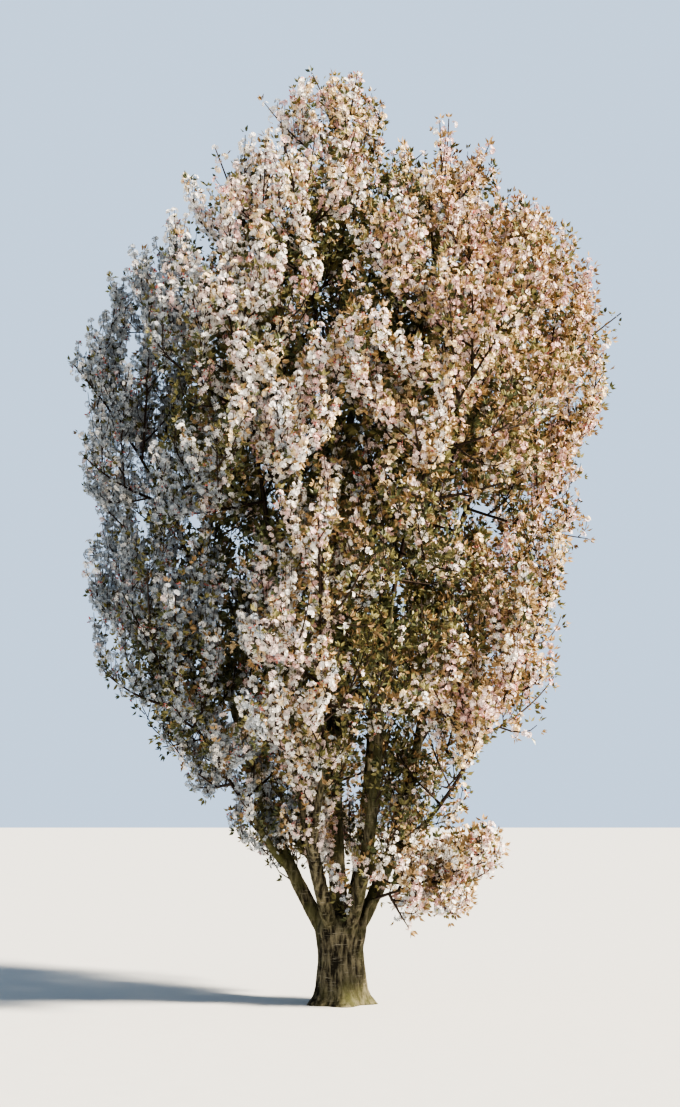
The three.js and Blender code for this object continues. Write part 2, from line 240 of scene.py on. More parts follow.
# Upright sprays that stand out of the crown's edge, where nothing is drawn in
SPIRES = (
    ((-1.14, -0.3, 5.85), (0.14, 0.5, 0.3)),
    ((-1.5, -0.3, 5.15), (0.14, 0.5, 0.3)),
    ((-1.9, -0.3, 4.7), (0.14, 0.5, 0.26)),
    ((-0.62, -0.3, 6.05), (0.16, 0.5, 0.3)),
    ((-0.3, -0.3, 6.6), (0.18, 0.5, 0.34)),
    ((0.12, -0.3, 6.65), (0.18, 0.5, 0.34)),
    ((0.98, -0.3, 6.0), (0.14, 0.5, 0.26)),
    ((1.5, -0.3, 5.5), (0.14, 0.5, 0.3)),
    ((1.8, -0.3, 3.85), (0.2, 0.5, 0.35)),
    ((-1.7, -0.3, 2.6), (0.3, 0.6, 0.45)),
)
SPIRE_EDGE = 1.4

# The finer shoots' reach from the axis round the crown's floor, and the lowest level of hanging sprays
SKIRT = {"levels": (1.0, 1.6), "reaches": (0.75, 1.6)}
LOW_FLOOR = 0.68

# Sprays that hang beyond the solids' reach: beside the trunk, and at the lower left
SPRAYS = (
    ((0.26, -0.34, 0.9), (0.38, 0.28, 0.26)),
    ((-1.15, -0.45, 1.88), (0.56, 0.65, 0.48)),
)

# Shaded hollows in the front of the crown, where leaves outnumber flowers, and two places half in shade. The
# dark green leaves dealt in them paint shade, partly in the hollows and wholly in the two places half in
# shade.
SHADE_HOLLOWS = (
    ((0.48, -1.35, 2.8), (0.58, 0.95, 0.56)),
    ((-0.74, -1.5, 3.5), (0.1, 0.8, 0.5)),
    ((-1.08, -1.45, 4.2), (0.22, 0.7, 0.35)),
    ((0.35, -0.7, 1.5), (0.5, 0.8, 0.3)),
    ((1.25, -0.9, 3.2), (0.5, 0.9, 0.6), 0.32),
    ((-1.2, -0.8, 2.2), (0.4, 0.9, 0.5), 0.45),
)
HOLLOW_EDGE = 1.3

# Values on the left, in the middle and on the right of the crown, whose sides lean with height. The left
# is the side in shade and the right the side in the sun: the petal tints paint shade on the left and partly
# paint warm sunlight on the right. The dark green leaves, which paint shade, are the kinds from the first of
# their pair up to the second.
SIDES_AT = (0.2, 0.31, 0.8)
SHADE_LINE_LEAN = 0.09
LEAF_LEAN = -0.03
PETAL_SHARES = {
    "milk": (0.1, 0.58, 0.06),
    # Painted shade: darker, cooler petals, a shaded copy of the white ones, dealt on the crown's left
    "pearl": (0.88, 0.06, 0.0),
    "blush": (0.02, 0.22, 0.36),
    "shell": (0.0, 0.04, 0.28),
    "cream": (0.0, 0.1, 0.3),
}
# Leaf tints, left to right: the dark olive and moss on the shaded left partly paint shade
LEAF_SHARES = {
    "bronze": (0.05, 0.16, 0.34),
    "copper": (0.0, 0.14, 0.4),
    "olive": (0.5, 0.52, 0.22),
    "moss": (0.45, 0.18, 0.04),
}
SHADE_GREEN_LEAVES = (2, 4)
BLOSSOM_SHARE = (0.9, 0.92, 0.68)
LEAFINESS = (0.1, 0.24, 0.85)
GAP_SHADE_GREEN = (0.95, 0.8, 0.4)
SAME_ON_SHOOT = 0.7
BUD_SHARE = 0.09

# What hollows, gaps between plumes and depth in the crown change in blossom and leaves, and how often they
# deal the dark green leaves that paint shade
HOLLOW_LOSS = 0.72
HOLLOW_LEAVES = 0.9
GAP_FLOWERS = 0.07
GAP_LEAVES = 0.72
DEEP_SHADE_GREEN = 0.9
DEEP_LEAF_SIZE = 1.3

# The photographed view: a camera at eye height that looks up the tree
CAMERA_PLACE = (0, -13.0, 1.5)
CAMERA_PITCH = 97.54
CAMERA_LENS = 58.15
CAMERA_SENSOR = 36
CAMERA_END = 400

# The skin of bark: how finely the forms under it are made, and where fine faces give way to coarse ones
LIMB_STEPS = 24
LIMB_ROUNDNESS = 4
BARK_SPLIT = 1.6
BARK_OVERLAP = 0.04
RELIEF_LEVELS = (0.5, 1.5)
RELIEF_SHARES = (1.0, 0.45)
RELIEF_STEPS = 12
SKIN_SMOOTHING = (0.5, 3)
RELIEF_OCTAVES = 3

# Layers of relief: share of the bark's relief, size and stretch up the limb
RIDGES = (1, 0.05, 3.5)
PLATES = (0.6, 0.018, 1.6)

# The bark's pattern: each noise's stretch, scale, detail and roughness, and the ranges in which three show
BARK_NOISES = {
    "Plates": ((1, 1, 0.22), 34.0, 7, 0.62),
    "Bands": ((0.6, 0.6, 4.5), 24.0, 3, 0.5),
    "Moss": ((1, 1, 1), 3.2, 4, 0.6),
    "Cracks": ((1, 1, 0.5), 120.0, 4, 0.6),
}
BARK_RANGES = {"Plates": (0.42, 0.62), "Bands": (0.6, 0.74, 0.0, 0.6), "Moss": (0.46, 0.68)}
CRACK_SHARE = 0.35
BARK_BUMP = (0.7, 0.012)
BARK_SHINE = (0.95, 0.75)
BARK_SPECULAR = 0.25

# Places of the sockets that take and give colours on a mix node
UNDER, OVER, MIXED = 6, 7, 2

# Plain surfaces: smoothest and roughest, scale of the grain, relief and sheen, then what all share
SURFACES = {
    "twig": ((0.6, 0.9), 140.0, 0.4, 0.0),
    "petal": ((0.5, 0.75), 220.0, 0.25, 0.15),
    "bud": ((0.4, 0.65), 260.0, 0.2, 0.0),
    "leaf": ((0.3, 0.6), 180.0, 0.3, 0.0),
    "floor": ((0.7, 0.9), 6.0, 0.05, 0.0),
}
GRAIN_DEPTH = 0.002
GRAIN_DETAIL = 4
GRAIN_PATCHES = (7.0, 2)
GRAIN_RANGE = (0.3, 0.7)
PLAIN_SPECULAR = 0.3

# Sides of a twig's tube, and steps along it
TWIG_SIDES = 3
TWIG_STEPS = {"stem": 10, "branch": 7, "side": 4, "fine": 3, "finest": 2}

# One flower, one bud and one leaf, as shares of the flower's radius, of the bud's and of the leaf's length
PETALS = 5
PETAL_WIDTH = 0.95
PETAL_RISE = 0.34
PETAL_TWIST = 0.1
BUD_RADIUS = 0.3
BUD_HEIGHT = 0.6
BUD_STALK = 0.9
LEAF_WIDTH = 0.5
LEAF_FOLD = (-0.08, 0, 0.12)

# Clusters round a spur: how many shapes, parts in even and odd ones, how the parts lean, the clusters' sizes
CLUSTERS = {
    "umbel": {"shapes": 4, "parts": (4, 5), "leans": (38, 84), "sizes": (0.8, 1.15)},
    "buds": {"shapes": 2, "parts": (3, 3), "leans": (30, 75), "sizes": (0.8, 1.2)},
    "tuft": {"shapes": 3, "parts": (3, 4), "leans": (20, 62), "sizes": (0.7, 1.25)},
}

# How far parts stand off their spur, in flowers' widths, in buds' lengths and in metres, and tufts off it
UMBEL_STAND = 0.55
BUD_STAND = 1.6
LEAF_STAND = 0.01
TUFT_STAND = 0.03

# The first part's share of the least lean, and how far stand, turn and tilt differ from part to part
FIRST_LEAN = 0.4
STAND_JITTER = (0.8, 1.15)
TURN_JITTER = 0.3
TILT_JITTER = 0.35

# The stage: a plain pale floor, one soft warm light from the right of the view and a pale backdrop
FLOOR_SIZE = 120
FLOOR_COLOUR = (0.62, 0.62, 0.6)
SUN_TURN = (54, 0, 68)
SUN_STRENGTH = 13
SUN_SOFTNESS = 8
SUN_COLOUR = (1.0, 0.89, 0.74)
SKY_COLOUR = (0.6, 0.76, 0.98)
SKY_STRENGTH = 0.45
BACKDROP_STRENGTH = 1.0


def length(name, description, default):
    """A length that the panel shows."""
    return FloatProperty(name=name, description=description, default=default, min=0.001, unit="LENGTH")


class CherrySizes(bpy.types.PropertyGroup):
    """Sizes of what grows on the limbs, and of the bark's relief"""

    flower_width: length("Flower Width", "Width of one open flower", 0.031)
    leaf_length: length("Leaf Length", "Length of one young leaf", 0.045)
    bud_length: length("Bud Length", "Length of one closed bud", 0.02)
    spur_spacing: length("Spur Spacing", "Distance between the spurs on a shoot", 0.034)
    bark_relief: length("Bark Relief", "Depth of the bark's ridges on the trunk", 0.014)
    bark_detail: length("Bark Detail", "Size of the bark's faces on the trunk", 0.01)
    limb_detail: length("Limb Detail", "Size of the bark's faces in the crown", 0.02)


def tint(name, of, default):
    """A colour that the panel shows."""
    shown = {"name": name, "description": "Colour of " + of, "subtype": "COLOR"}
    return FloatVectorProperty(default=default, size=3, min=0, max=1, **shown)


class CherryColours(bpy.types.PropertyGroup):
    """Base colours of the bark, the petals and the young leaves"""

    bark_dark: tint("Dark Bark", "the bark's furrows", (0.02, 0.016, 0.01))
    bark_light: tint("Light Bark", "the bark's plates", (0.18, 0.158, 0.103))
    bark_band: tint("Bark Band", "the short pale bands across the bark", (0.34, 0.315, 0.25))
    bark_moss: tint("Moss", "the green film on the bark", (0.085, 0.085, 0.037))
    twig: tint("Twig", "the young twigs", (0.04, 0.026, 0.018))
    milk: tint("Milk White", "the whitest petals", (0.84, 0.81, 0.77))
    # Painted shade: the petals' white darkened and cooled for the crown's shaded side
    pearl: tint("Pearl", "the cool petals", (0.38, 0.41, 0.44))
    blush: tint("Blush", "the palest pink petals", (0.82, 0.68, 0.64))
    shell: tint("Shell Pink", "the pinkest petals", (0.78, 0.53, 0.5))
    # Partly painted warm sunlight: a real creamy tint, made warmer and dealt mostly on the crown's sunlit
    # right
    cream: tint("Cream", "the creamy petals", (0.84, 0.68, 0.44))
    bud: tint("Bud", "the closed buds and their stalks", (0.4, 0.13, 0.11))
    bronze: tint("Bronze", "the youngest leaves", (0.24, 0.16, 0.08))
    copper: tint("Copper", "the leaves that have opened", (0.38, 0.26, 0.13))
    olive: tint("Olive", "the leaves that turn green", (0.18, 0.165, 0.07))
    # Partly painted shade: the darkest leaf green, dealt where the crown lies in shade
    moss: tint("Leaf Green", "the leaves deep in the crown", (0.085, 0.095, 0.045))


# The rule that the solids grow by


@dataclass(eq=False)
class Mass:
    """One mass of the crown: its space, the foot of its stem and the tip that it grows towards."""

    ring: str
    turn: float
    seed: int
    scale: float
    centre: np.ndarray
    foot: np.ndarray
    tip: np.ndarray
    bough: np.ndarray = None
    end_radius: float = 0
    wall_normals: np.ndarray = None
    wall_distances: np.ndarray = None


@dataclass(eq=False)
class Shoot:
    """A stem, branch or twig of a mass, on a curve of three control points."""

    kind: str
    mass: Mass
    curve: np.ndarray


def random_from(seed):
    """Repeatable random numbers from 0 to 1."""
    mask = 0xFFFFFFFF
    state = seed & mask

    def draw():
        nonlocal state
        state = (state + 0x6D2B79F5) & mask
        t = ((state ^ (state >> 15)) * (state | 1)) & mask
        t ^= (t + (((t ^ (t >> 7)) * (t | 61)) & mask)) & mask
        return (t ^ (t >> 14)) / 4294967296

    return draw


def mix(ends, share):
    return ends[0] + (ends[1] - ends[0]) * share


def size_of(vectors):
    return np.linalg.norm(vectors, axis=-1)


def unit(vectors):
    return vectors / size_of(vectors)[..., None]


def cross(a, b):
    return a[..., [1, 2, 0]] * b[..., [2, 0, 1]] - a[..., [2, 0, 1]] * b[..., [1, 2, 0]]


def point_on(curves, shares):
    """The point on each Bezier curve at a share, or its points at an array of shares."""
    shares = np.asarray(shares, float)[..., None]
    points = np.moveaxis(curves, -2, 0)
    if shares.ndim > 1:
        points = points[..., None, :]
    while len(points) > 1:
        points = points[:-1] * (1 - shares) + points[1:] * shares
    return points[0]


def tangent_at(curve, shares):
    ahead = point_on(curve, np.minimum(shares + TANGENT_STEP, 1))
    return unit(ahead - point_on(curve, np.maximum(shares - TANGENT_STEP, 0)))


def axis_x(height):
    """Where the crown's axis stands at a height. Below the crown it is the trunk's own axis."""
    phase = 2 * np.pi * (height - AXIS_SWAY["level"]) / AXIS_SWAY["period"]
    return np.where(height < CROWN_FLOOR, 0, AXIS_SWAY["centre"] + AXIS_SWAY["reach"] * np.cos(phase))


def off_axis(points):
    """How far points lie from the crown's axis, and their heights."""
    x, y, z = np.moveaxis(points, -1, 0)
    return np.hypot(x - axis_x(z), y), z


def polar(turn, distance, height):
    """A point at a compass turn, a distance from the crown's axis and a height."""
    x = float(axis_x(height)) + distance * math.cos(turn)
    return np.array([x, distance * math.sin(turn), height])


def outward(turn, lean):
    return np.array([lean[0] * math.cos(turn), lean[0] * math.sin(turn), lean[1]])


def crown_reach(height):
    """The crown's reach from its axis at a height."""
    rise = np.clip((height - WIDEST_LEVEL) / (TREE_HEIGHT - WIDEST_LEVEL), 0, None)
    fall = np.clip((WIDEST_LEVEL - height) / (WIDEST_LEVEL - CROWN_FLOOR), 0, None)
    above = 1 - UPPER_NARROWING * rise**UPPER_ROUNDNESS
    below = (1 - LOWER_NARROWING * fall) * np.sqrt(np.clip(1 - fall**LOWER_ROUNDNESS, 0, None))
    return CROWN_RADIUS * np.where(height >= WIDEST_LEVEL, above, below)


def lay_out_masses():
    """Masses of the crown, each with the foot where its stem starts and the tip that it grows towards."""
    draw = random_from(CROWN_SEED)
    masses = []

    def place(ring, turn, lift, sizes):
        tip_reach, tip_height = sizes["tip"][0], sizes["tip"][1] + lift
        if ring != "low":
            tip_reach = min(tip_reach, float(crown_reach(tip_height)) - MASS_GAP)
        centre, foot = (polar(turn, d, z + lift) for d, z in (sizes["centre"], sizes["foot"]))
        scale = LOW_SCALE if ring == "low" else 1
        tip = polar(turn, tip_reach, tip_height)
        masses.append(Mass(ring, turn, CROWN_SEED + 1 + len(masses), scale, centre, foot, tip))

    for ring, sizes in RINGS.items():
        for i in range(sizes["count"]):
            turn = sizes["turn"] + 360 * i / sizes["count"] + RING_TURN_JITTER * (2 * draw() - 1)
            stagger = -RING_HEIGHT_STAGGER if i % 2 else RING_HEIGHT_STAGGER
            place(ring, math.radians(turn), stagger + RING_HEIGHT_JITTER * (2 * draw() - 1), sizes)
    place("top", math.radians(TOP_MASS["turn"]), 0, TOP_MASS)
    place("low", math.radians(LOW_MASS["turn"]), 0, LOW_MASS)
    crown = [mass for mass in masses if mass.ring != "low"]
    for mass in crown:
        apart = np.array([other.centre - mass.centre for other in crown if other is not mass])
        gaps = size_of(apart)
        mass.wall_normals = apart / gaps[:, None]
        mass.wall_distances = gaps / 2 - MASS_GAP
    return masses


def in_space(mass, points):
    """Which points lie in a mass's own space: nearer to its centre than to any other, inside the crown."""
    if mass.ring == "low":
        line = mass.tip - mass.foot
        shares = np.clip((points - mass.foot) @ line / (line @ line), 0, 1)
        away = size_of(points - mass.foot - shares[..., None] * line)
        return (away < LOW_REACH) & (points[..., 2] < CROWN_FLOOR - MASS_GAP)
    distances, z = off_axis(points)
    inside = (z >= CROWN_FLOOR) & (z <= TREE_HEIGHT) & (distances <= crown_reach(z))
    along = (points - mass.centre) @ mass.wall_normals.T
    return inside & (along < mass.wall_distances).all(axis=-1)


def lay_out_boughs(masses):
    """Limbs on smooth curves, each from its root to the foot of its mass."""
    draw = random_from(CROWN_SEED * 2)

    def of(ring):
        return [mass for mass in masses if mass.ring == ring]

    def bough(kind, root, heading, mass):
        span = size_of(mass.foot - root)
        arrival = unit(outward(mass.turn, ARRIVING[kind]))
        leave = root + unit(heading) * HANDLE_SHARES[0] * span
        arrive = mass.foot - arrival * HANDLE_SHARES[1] * span
        mass.bough = np.array([root, leave, arrive, mass.foot])
        mass.end_radius = LIMB_RADII[kind][1]
        return mass.bough, LIMB_RADII[kind]

    def from_trunk(kind, mass, root):
        return bough(kind, polar(mass.turn, *root), outward(mass.turn, LEAVING[kind]), mass)

    (leader,) = [from_trunk("leader", mass, LEADER_ROOT) for mass in of("top")]
    mains = [from_trunk("main", mass, MAIN_ROOT) for mass in of("middle")]
    sides = []
    for mass, (parent, _) in zip(of("lower"), mains):
        at = mix(SIDE_BOUGH_AT, draw())
        heading = tangent_at(parent, at) + outward(mass.turn, LEAVING["side"])
        sides.append(bough("side", point_on(parent, at), heading, mass))
    uppers = []
    for i, mass in enumerate(of("upper")):
        at = mix(UPPER_BOUGH_AT, i / (len(of("upper")) - 1))
        uppers.append(bough("upper", point_on(leader[0], at), outward(mass.turn, LEAVING["upper"]), mass))
    lows = [from_trunk("low", mass, LOW_ROOT) for mass in of("low")]
    return [leader, *mains, *sides, *uppers, *lows]


class LimbGaps:
    """Measures how far points lie from the surfaces of all limbs."""

    def __init__(self, limbs):
        starts, spans, radii = [], [], []
        for curve, ends in limbs:
            line = point_on(curve, np.linspace(0, 1, LIMB_PIECES + 1))
            starts.append(line[:-1])
            spans.append(np.diff(line, axis=0))
            radii.append(mix(ends, (np.arange(LIMB_PIECES) + 0.5) / LIMB_PIECES))
        self.starts = np.concatenate(starts)
        self.spans = np.concatenate(spans)
        self.radii = np.concatenate(radii)
        self.lengths = (self.spans**2).sum(axis=1)

    def clear(self, points, radius):
        away = points[..., None, :] - self.starts
        shares = np.clip((away * self.spans).sum(axis=-1) / self.lengths, 0, 1)
        gaps = size_of(away - shares[..., None] * self.spans) - self.radii
        return gaps.min(axis=-1) > radius + LIMB_GAP


def curves_from(root, headings, lengths, upturn):
    """Twigs that leave a root along each heading, at each length, and turn up towards the light."""
    steps = headings[..., None, :] * lengths[:, None]
    root = np.broadcast_to(root[..., None, :], steps.shape)
    ends = root + steps * (1 - upturn) + UP * upturn * lengths[:, None]
    return np.stack([root, root + steps * 0.5, ends], axis=-2)


def shrinking(longest, shortest, shrink):
    """Lengths from the longest down to the shortest, each a share of the one before."""
    count = int(math.log(shortest / longest) / math.log(shrink)) + 1
    return longest * shrink ** np.arange(count)


def side_headings(tangents, spread, rolls):
    """Headings of shoots that leave a parent's tangent at a spread, turned round it by each roll."""
    upright = np.abs(tangents[..., 2:]) >= NEARLY_UPRIGHT
    across = unit(cross(tangents, np.where(upright, ALONG_X, UP)))
    turned = across * np.cos(rolls)[..., None] + cross(tangents, across) * np.sin(rolls)[..., None]
    return tangents * math.cos(math.radians(spread)) + turned * math.sin(math.radians(spread))


def spindle_corners(root, heading, wide, long):
    """The six corners of each sleeve that stands for a blossoming shoot in the solids."""
    x, y, z = np.moveaxis(heading, -1, 0)
    middle = root + heading * long / 2
    corners = [root, root + heading * long]
    for roll in (x, x + np.pi / 2):
        cosine, sine = np.cos(roll), np.sin(roll)
        tilt = x * cosine + y * sine
        side = np.stack([cosine - x * tilt / (1 + z), sine - y * tilt / (1 + z), -tilt], axis=-1) * wide / 2
        corners += [middle - side, middle + side]
    return np.stack(corners, axis=-2)


def grow_mass(mass, gaps):
    """A stem, the branches round it and the side shoots on them, by the same draws as the solids."""
    draw = random_from(mass.seed)
    shoots = []
    taken = np.empty((0, 3))

    def sleeves_of(curves, bar_radius):
        roots = point_on(curves, SLEEVE_START) if bar_radius else curves[..., 0, :]
        return roots, curves[..., 2, :] - roots

    def fitting(curves, bar_radius):
        """Which curves keep their sleeve, and their bar if they have one, in the space and off the limbs."""
        roots, spans = sleeves_of(curves, bar_radius)
        long = size_of(spans)[..., None]
        wide = np.minimum(SLEEVE_SLIMNESS * long, SLEEVE_WIDEST)
        core = roots[..., None, :] + CORE_AT[:, None] * spans[..., None, :]
        fits = in_space(mass, spindle_corners(roots, spans / long, wide, long)).all(axis=-1)
        fits &= gaps.clear(core, CORE_SHARE * wide).all(axis=-1)
        if bar_radius:
            bar = point_on(curves, BAR_AT)
            fits &= in_space(mass, bar).all(axis=-1) & gaps.clear(bar, bar_radius).all(axis=-1)
        return fits

    def longest_of(curves, bar_radius):
        """The longest curve that fits for each heading, and the points that keep later ones off it."""
        fits = fitting(curves, bar_radius)
        kept = curves[np.arange(len(curves)), fits.argmax(axis=1)][fits.any(axis=1)]
        roots, spans = sleeves_of(kept, bar_radius)
        return kept, roots[:, None] + ROOM_AT[:, None] * spans[:, None]

    def add_freest(kind, parent, at, spread, lengths, upturn, bar_radius):
        nonlocal taken
        rolls = 2 * np.pi * np.array([draw() for _ in range(HEADING_TRIES)])
        headings = side_headings(tangent_at(parent, at), spread, rolls)
        lengths = mass.scale * shrinking(*lengths, SHRINK)
        curves, points = longest_of(curves_from(point_on(parent, at), headings, lengths, upturn), bar_radius)
        if not len(curves):
            return None
        rooms = size_of(points[:, :, None] - taken).min(axis=(1, 2))
        best = rooms.argmax()
        if rooms[best] < mass.scale * LEAST_ROOM:
            return None
        taken = np.concatenate([taken, points[best]])
        shoots.append(Shoot(kind, mass, curves[best]))
        return curves[best]

    arrival = tangent_at(mass.bough, 1)
    start = mass.foot + arrival * SEAT_GAP
    reach = size_of(mass.tip - start)
    lengths = shrinking(reach, 0.5 * reach, SHRINK)[:, None]
    ends = start + (mass.tip - start) * lengths / reach
    stems = np.stack([np.broadcast_to(start, ends.shape), start + arrival * 0.5 * lengths, ends], axis=1)
    (stem,), (taken,) = longest_of(stems[None], STEM_BAR_RADIUS)
    shoots.append(Shoot("stem", mass, stem))
    for share in np.linspace(0, 1, BRANCHES_PER_MASS):
        lengths = (mix(BRANCH_LENGTHS, share), SHORTEST_BRANCH)
        spread, upturn = mix(BRANCH_SPREAD, share), mix(BRANCH_UPTURN, share)
        at = mix(BRANCH_SPAN, share)
        branch = add_freest("branch", stem, at, spread, lengths, upturn, BRANCH_BAR_RADIUS)
        if branch is not None:
            for along in SIDE_SHOOTS_AT:
                add_freest("side", branch, along, SIDE_SPREAD, SIDE_LENGTHS, SIDE_UPTURN, None)
    return shoots


def sampled(curve):
    """Points along a shoot's outer part, which keep later shoots off it."""
    count = max(2, int(size_of(curve[2] - curve[0]) / SHOOT_SAMPLES))
    return point_on(curve, np.linspace(*KEPT_CLEAR, count))


def in_reach(mass, points, edge):
    """Which points finer shoots may take: the crown inside its uneven edge, or the low branch's space."""
    x, y, z = np.moveaxis(points, -1, 0)
    sprayed = (nearness(points, SPRAYS, 1) > 0) & (z > LOW_FLOOR)
    if mass.ring == "low":
        return sprayed | in_space(mass, points) & (z > LOW_FLOOR)
    turn = np.arctan2(y, x - axis_x(z))
    waves = [share * np.sin(count * turn + rise * z + start) for share, count, rise, start in EDGE_WAVES]
    drawn_in = edge * (0.5 + 0.5 * np.sum(waves, axis=0)) + PLUME_DRAW * (1 - plume_share(points))
    drawn_in += np.interp(z, TOP_DRAW["levels"], TOP_DRAW["shares"])
    drawn_in *= 1 - nearness(points, SPIRES, SPIRE_EDGE)
    drawn_down = DRAWN_DOWN * drawn_in
    skirt = np.interp(z, SKIRT["levels"], SKIRT["reaches"])
    reach = np.where(z < SKIRT["levels"][1], skirt, crown_reach(z + drawn_down))
    inside = np.hypot(x - axis_x(z), y) < reach - drawn_in
    inside &= (z > SKIRT["levels"][0]) & (z < TREE_HEIGHT - drawn_down)
    inside &= nearness(points, NOTCHES, 1) == 0
    inside |= sprayed
    low, high = np.array(cad_box)
    return inside & ((points > low - EDGE_ROOM) & (points < high + EDGE_ROOM)).all(axis=-1)


def plume_share(places):
    """How fully places lie in a plume of blossom, from 0 in the gaps between plumes to 1."""
    rng = np.random.default_rng(PLUME_SEED)
    rises = rng.normal(size=(PLUME_WAVES, 3)) * PLUME_RISES
    rises *= mix(PLUME_SLOWNESS, np.arange(PLUME_WAVES)[:, None] / PLUME_WAVES)
    waves = np.sin(places @ rises.T + rng.uniform(0, math.tau, PLUME_WAVES)).sum(axis=-1)
    height = waves * math.sqrt(2 / PLUME_WAVES) + PLUME_SHIFT
    height += DRIFT_LIFT * nearness(places, DRIFTS, DRIFT_EDGE)
    return np.clip(0.5 + PLUME_CONTRAST * height, 0, 1)


def inner_share(places):
    """How deep places lie in the crown, from 0 in its outer shell to 1 in its heart."""
    distances, z = off_axis(places)
    depth = np.minimum(crown_reach(z) - distances, TREE_HEIGHT - z)
    return np.clip((depth - FULL_DEPTH) / (THIN_DEPTH - FULL_DEPTH), 0, 1)


def nearness(places, regions, edge):
    """How near places lie to the heart of the nearest region, from 0 beyond its edge to 1 or its most."""
    shares = []
    for centre, reach, *most in regions:
        away = size_of((places - centre) / reach)
        shares.append(np.clip(edge - away, 0, most[0] if most else 1))
    return np.max(shares, axis=0)


def by_side(places, values, lean=SHADE_LINE_LEAN):
    """A value for each place, from those given for the shaded left, the middle and the sunlit right of the
    crown.
    """
    side = (places[:, 0] / CROWN_RADIUS + lean * (places[:, 2] - WIDEST_LEVEL) + 1) / 2
    return np.interp(side, SIDES_AT, values)


def grow_finer(masses, shoots, gaps):
    """Carries the rule on, in all masses together: shorter shoots in what room is left round the others."""
    rng = np.random.default_rng(GROWTH_SEED)
    taken = np.concatenate([sampled(shoot.curve) for shoot in shoots])
    limbs = [Shoot("limb", mass, mass.bough) for mass in masses]
    for finer in FINER_ROUNDS:
        parents = shoots + limbs
        for index in rng.permutation(len(parents)):
            parent = parents[index]
            span = size_of(parent.curve[-1] - parent.curve[0])
            reach = span / 2 + finer["lengths"][0] + finer["room"]
            near = taken[np.abs(taken - parent.curve[[0, -1]].mean(axis=0)).max(axis=1) < reach]
            found = freest_on(parent, span, finer, near, gaps, rng)
            if found:
                shoots.extend(Shoot(finer["kind"], parent.mass, curve) for curve in found)
                taken = np.concatenate([taken, *(sampled(curve) for curve in found)])
    return shoots


def freest_on(parent, span, finer, taken, gaps, rng):
    """Shoots along a parent, each the longest that fits on the freest of a few headings."""
    count = max(1, int(span / finer["every"]))
    shares = mix(finer["span"], (np.arange(count) + rng.random(count)) / count)
    roots = point_on(parent.curve, shares)
    wanted = mix((1, finer["deep"]), inner_share(roots)) * mix((finer["gap"], 1), plume_share(roots))
    shares = shares[rng.random(count) < wanted]
    count = len(shares)
    rolls = 2 * np.pi * rng.random((count, FINER_TRIES))
    headings = side_headings(tangent_at(parent.curve, shares)[:, None], finer["spread"], rolls)
    lengths = parent.mass.scale * shrinking(*finer["lengths"], FINER_SHRINK)
    curves = curves_from(point_on(parent.curve, shares)[:, None], headings, lengths, finer["upturn"])
    points = point_on(curves, FINER_ROOM_AT)
    fits = in_reach(parent.mass, points, finer["edge"]).all(axis=-1)
    fits[fits] = gaps.clear(points[fits], SHOOT_RADII[finer["kind"]][0]).all(axis=-1)
    found = []
    for of_root, points_of_root, fit in zip(curves, points, fits):
        tries = np.flatnonzero(fit.any(axis=1))
        if len(tries):
            longest = fit[tries].argmax(axis=1)
            apart = points_of_root[tries, longest][:, :, None] - taken
            rooms = np.sqrt((apart**2).sum(axis=-1).min(axis=(1, 2)))
            best = rooms.argmax()
            if rooms[best] > parent.mass.scale * finer["room"]:
                found.append(of_root[tries[best], longest[best]])
                taken = np.concatenate([taken, sampled(found[-1])])
    return found


# Making and finishing pieces


def deselect():
    bpy.ops.object.select_all(action="DESELECT")


def select_only(*objects):
    """Selects these objects, the first of them active."""
    deselect()
    for obj in objects:
        obj.select_set(True)
    bpy.context.view_layer.objects.active = objects[0]


def added(name):
    """The object that an operator has just made, under its own name."""
    obj = bpy.context.active_object
    obj.name = name
    obj.data.name = name
    return obj


def edit_all():
    """Opens the active object in edit mode with all of it selected."""
    bpy.ops.object.mode_set(mode="EDIT")
    bpy.ops.mesh.select_all(action="SELECT")


def leave_edit():
    bpy.ops.object.mode_set(mode="OBJECT")


def select_vertices(obj, test):
    """In edit mode, selects the vertices whose place passes a test."""
    mesh = bmesh.from_edit_mesh(obj.data)
    for vertex in mesh.verts:
        vertex.select_set(test(vertex.co))
    mesh.select_flush_mode()
    bmesh.update_edit_mesh(obj.data)


def joined(name, objects):
    select_only(*objects)
    bpy.ops.object.join()
    return added(name)


def apply_modifiers(obj):
    select_only(obj)
    for modifier in list(obj.modifiers):
        bpy.ops.object.modifier_apply(modifier=modifier.name)


def removed(*objects):
    for obj in objects:
        bpy.data.objects.remove(obj)


def carrier(name, places, edges=()):
    """A mesh of bare points, or of points joined into lines, for nodes to build on."""
    mesh = bpy.data.meshes.new(name)
    mesh.from_pydata(places, edges, ())
    piece = bpy.data.objects.new(name, mesh)
    bpy.context.scene.collection.objects.link(piece)
    return piece


def feed(tree, node, inputs):
    """Sets a node's inputs to values, or links them where another node's socket is given."""
    for label, given in inputs.items():
        if isinstance(given, bpy.types.NodeSocket):
            tree.links.new(given, node.inputs[label])
        else:
            node.inputs[label].default_value = given


def new_node(tree, kind, inputs, **settings):
    node = tree.nodes.new(kind)
    for label, setting in settings.items():
        setattr(node, label, setting)
    feed(tree, node, inputs)
    return node


def node_group(name, kind, inputs, outputs):
    """An empty node group. Its inputs and outputs are given by name, each with its kind of socket."""
    group = bpy.data.node_groups.new(name, kind + "NodeTree")
    for side, sockets in (("INPUT", inputs), ("OUTPUT", outputs)):
        for label, socket in sockets.items():
            group.interface.new_socket(label, in_out=side, socket_type="NodeSocket" + socket)
    return group, group.nodes.new("NodeGroupInput"), group.nodes.new("NodeGroupOutput")


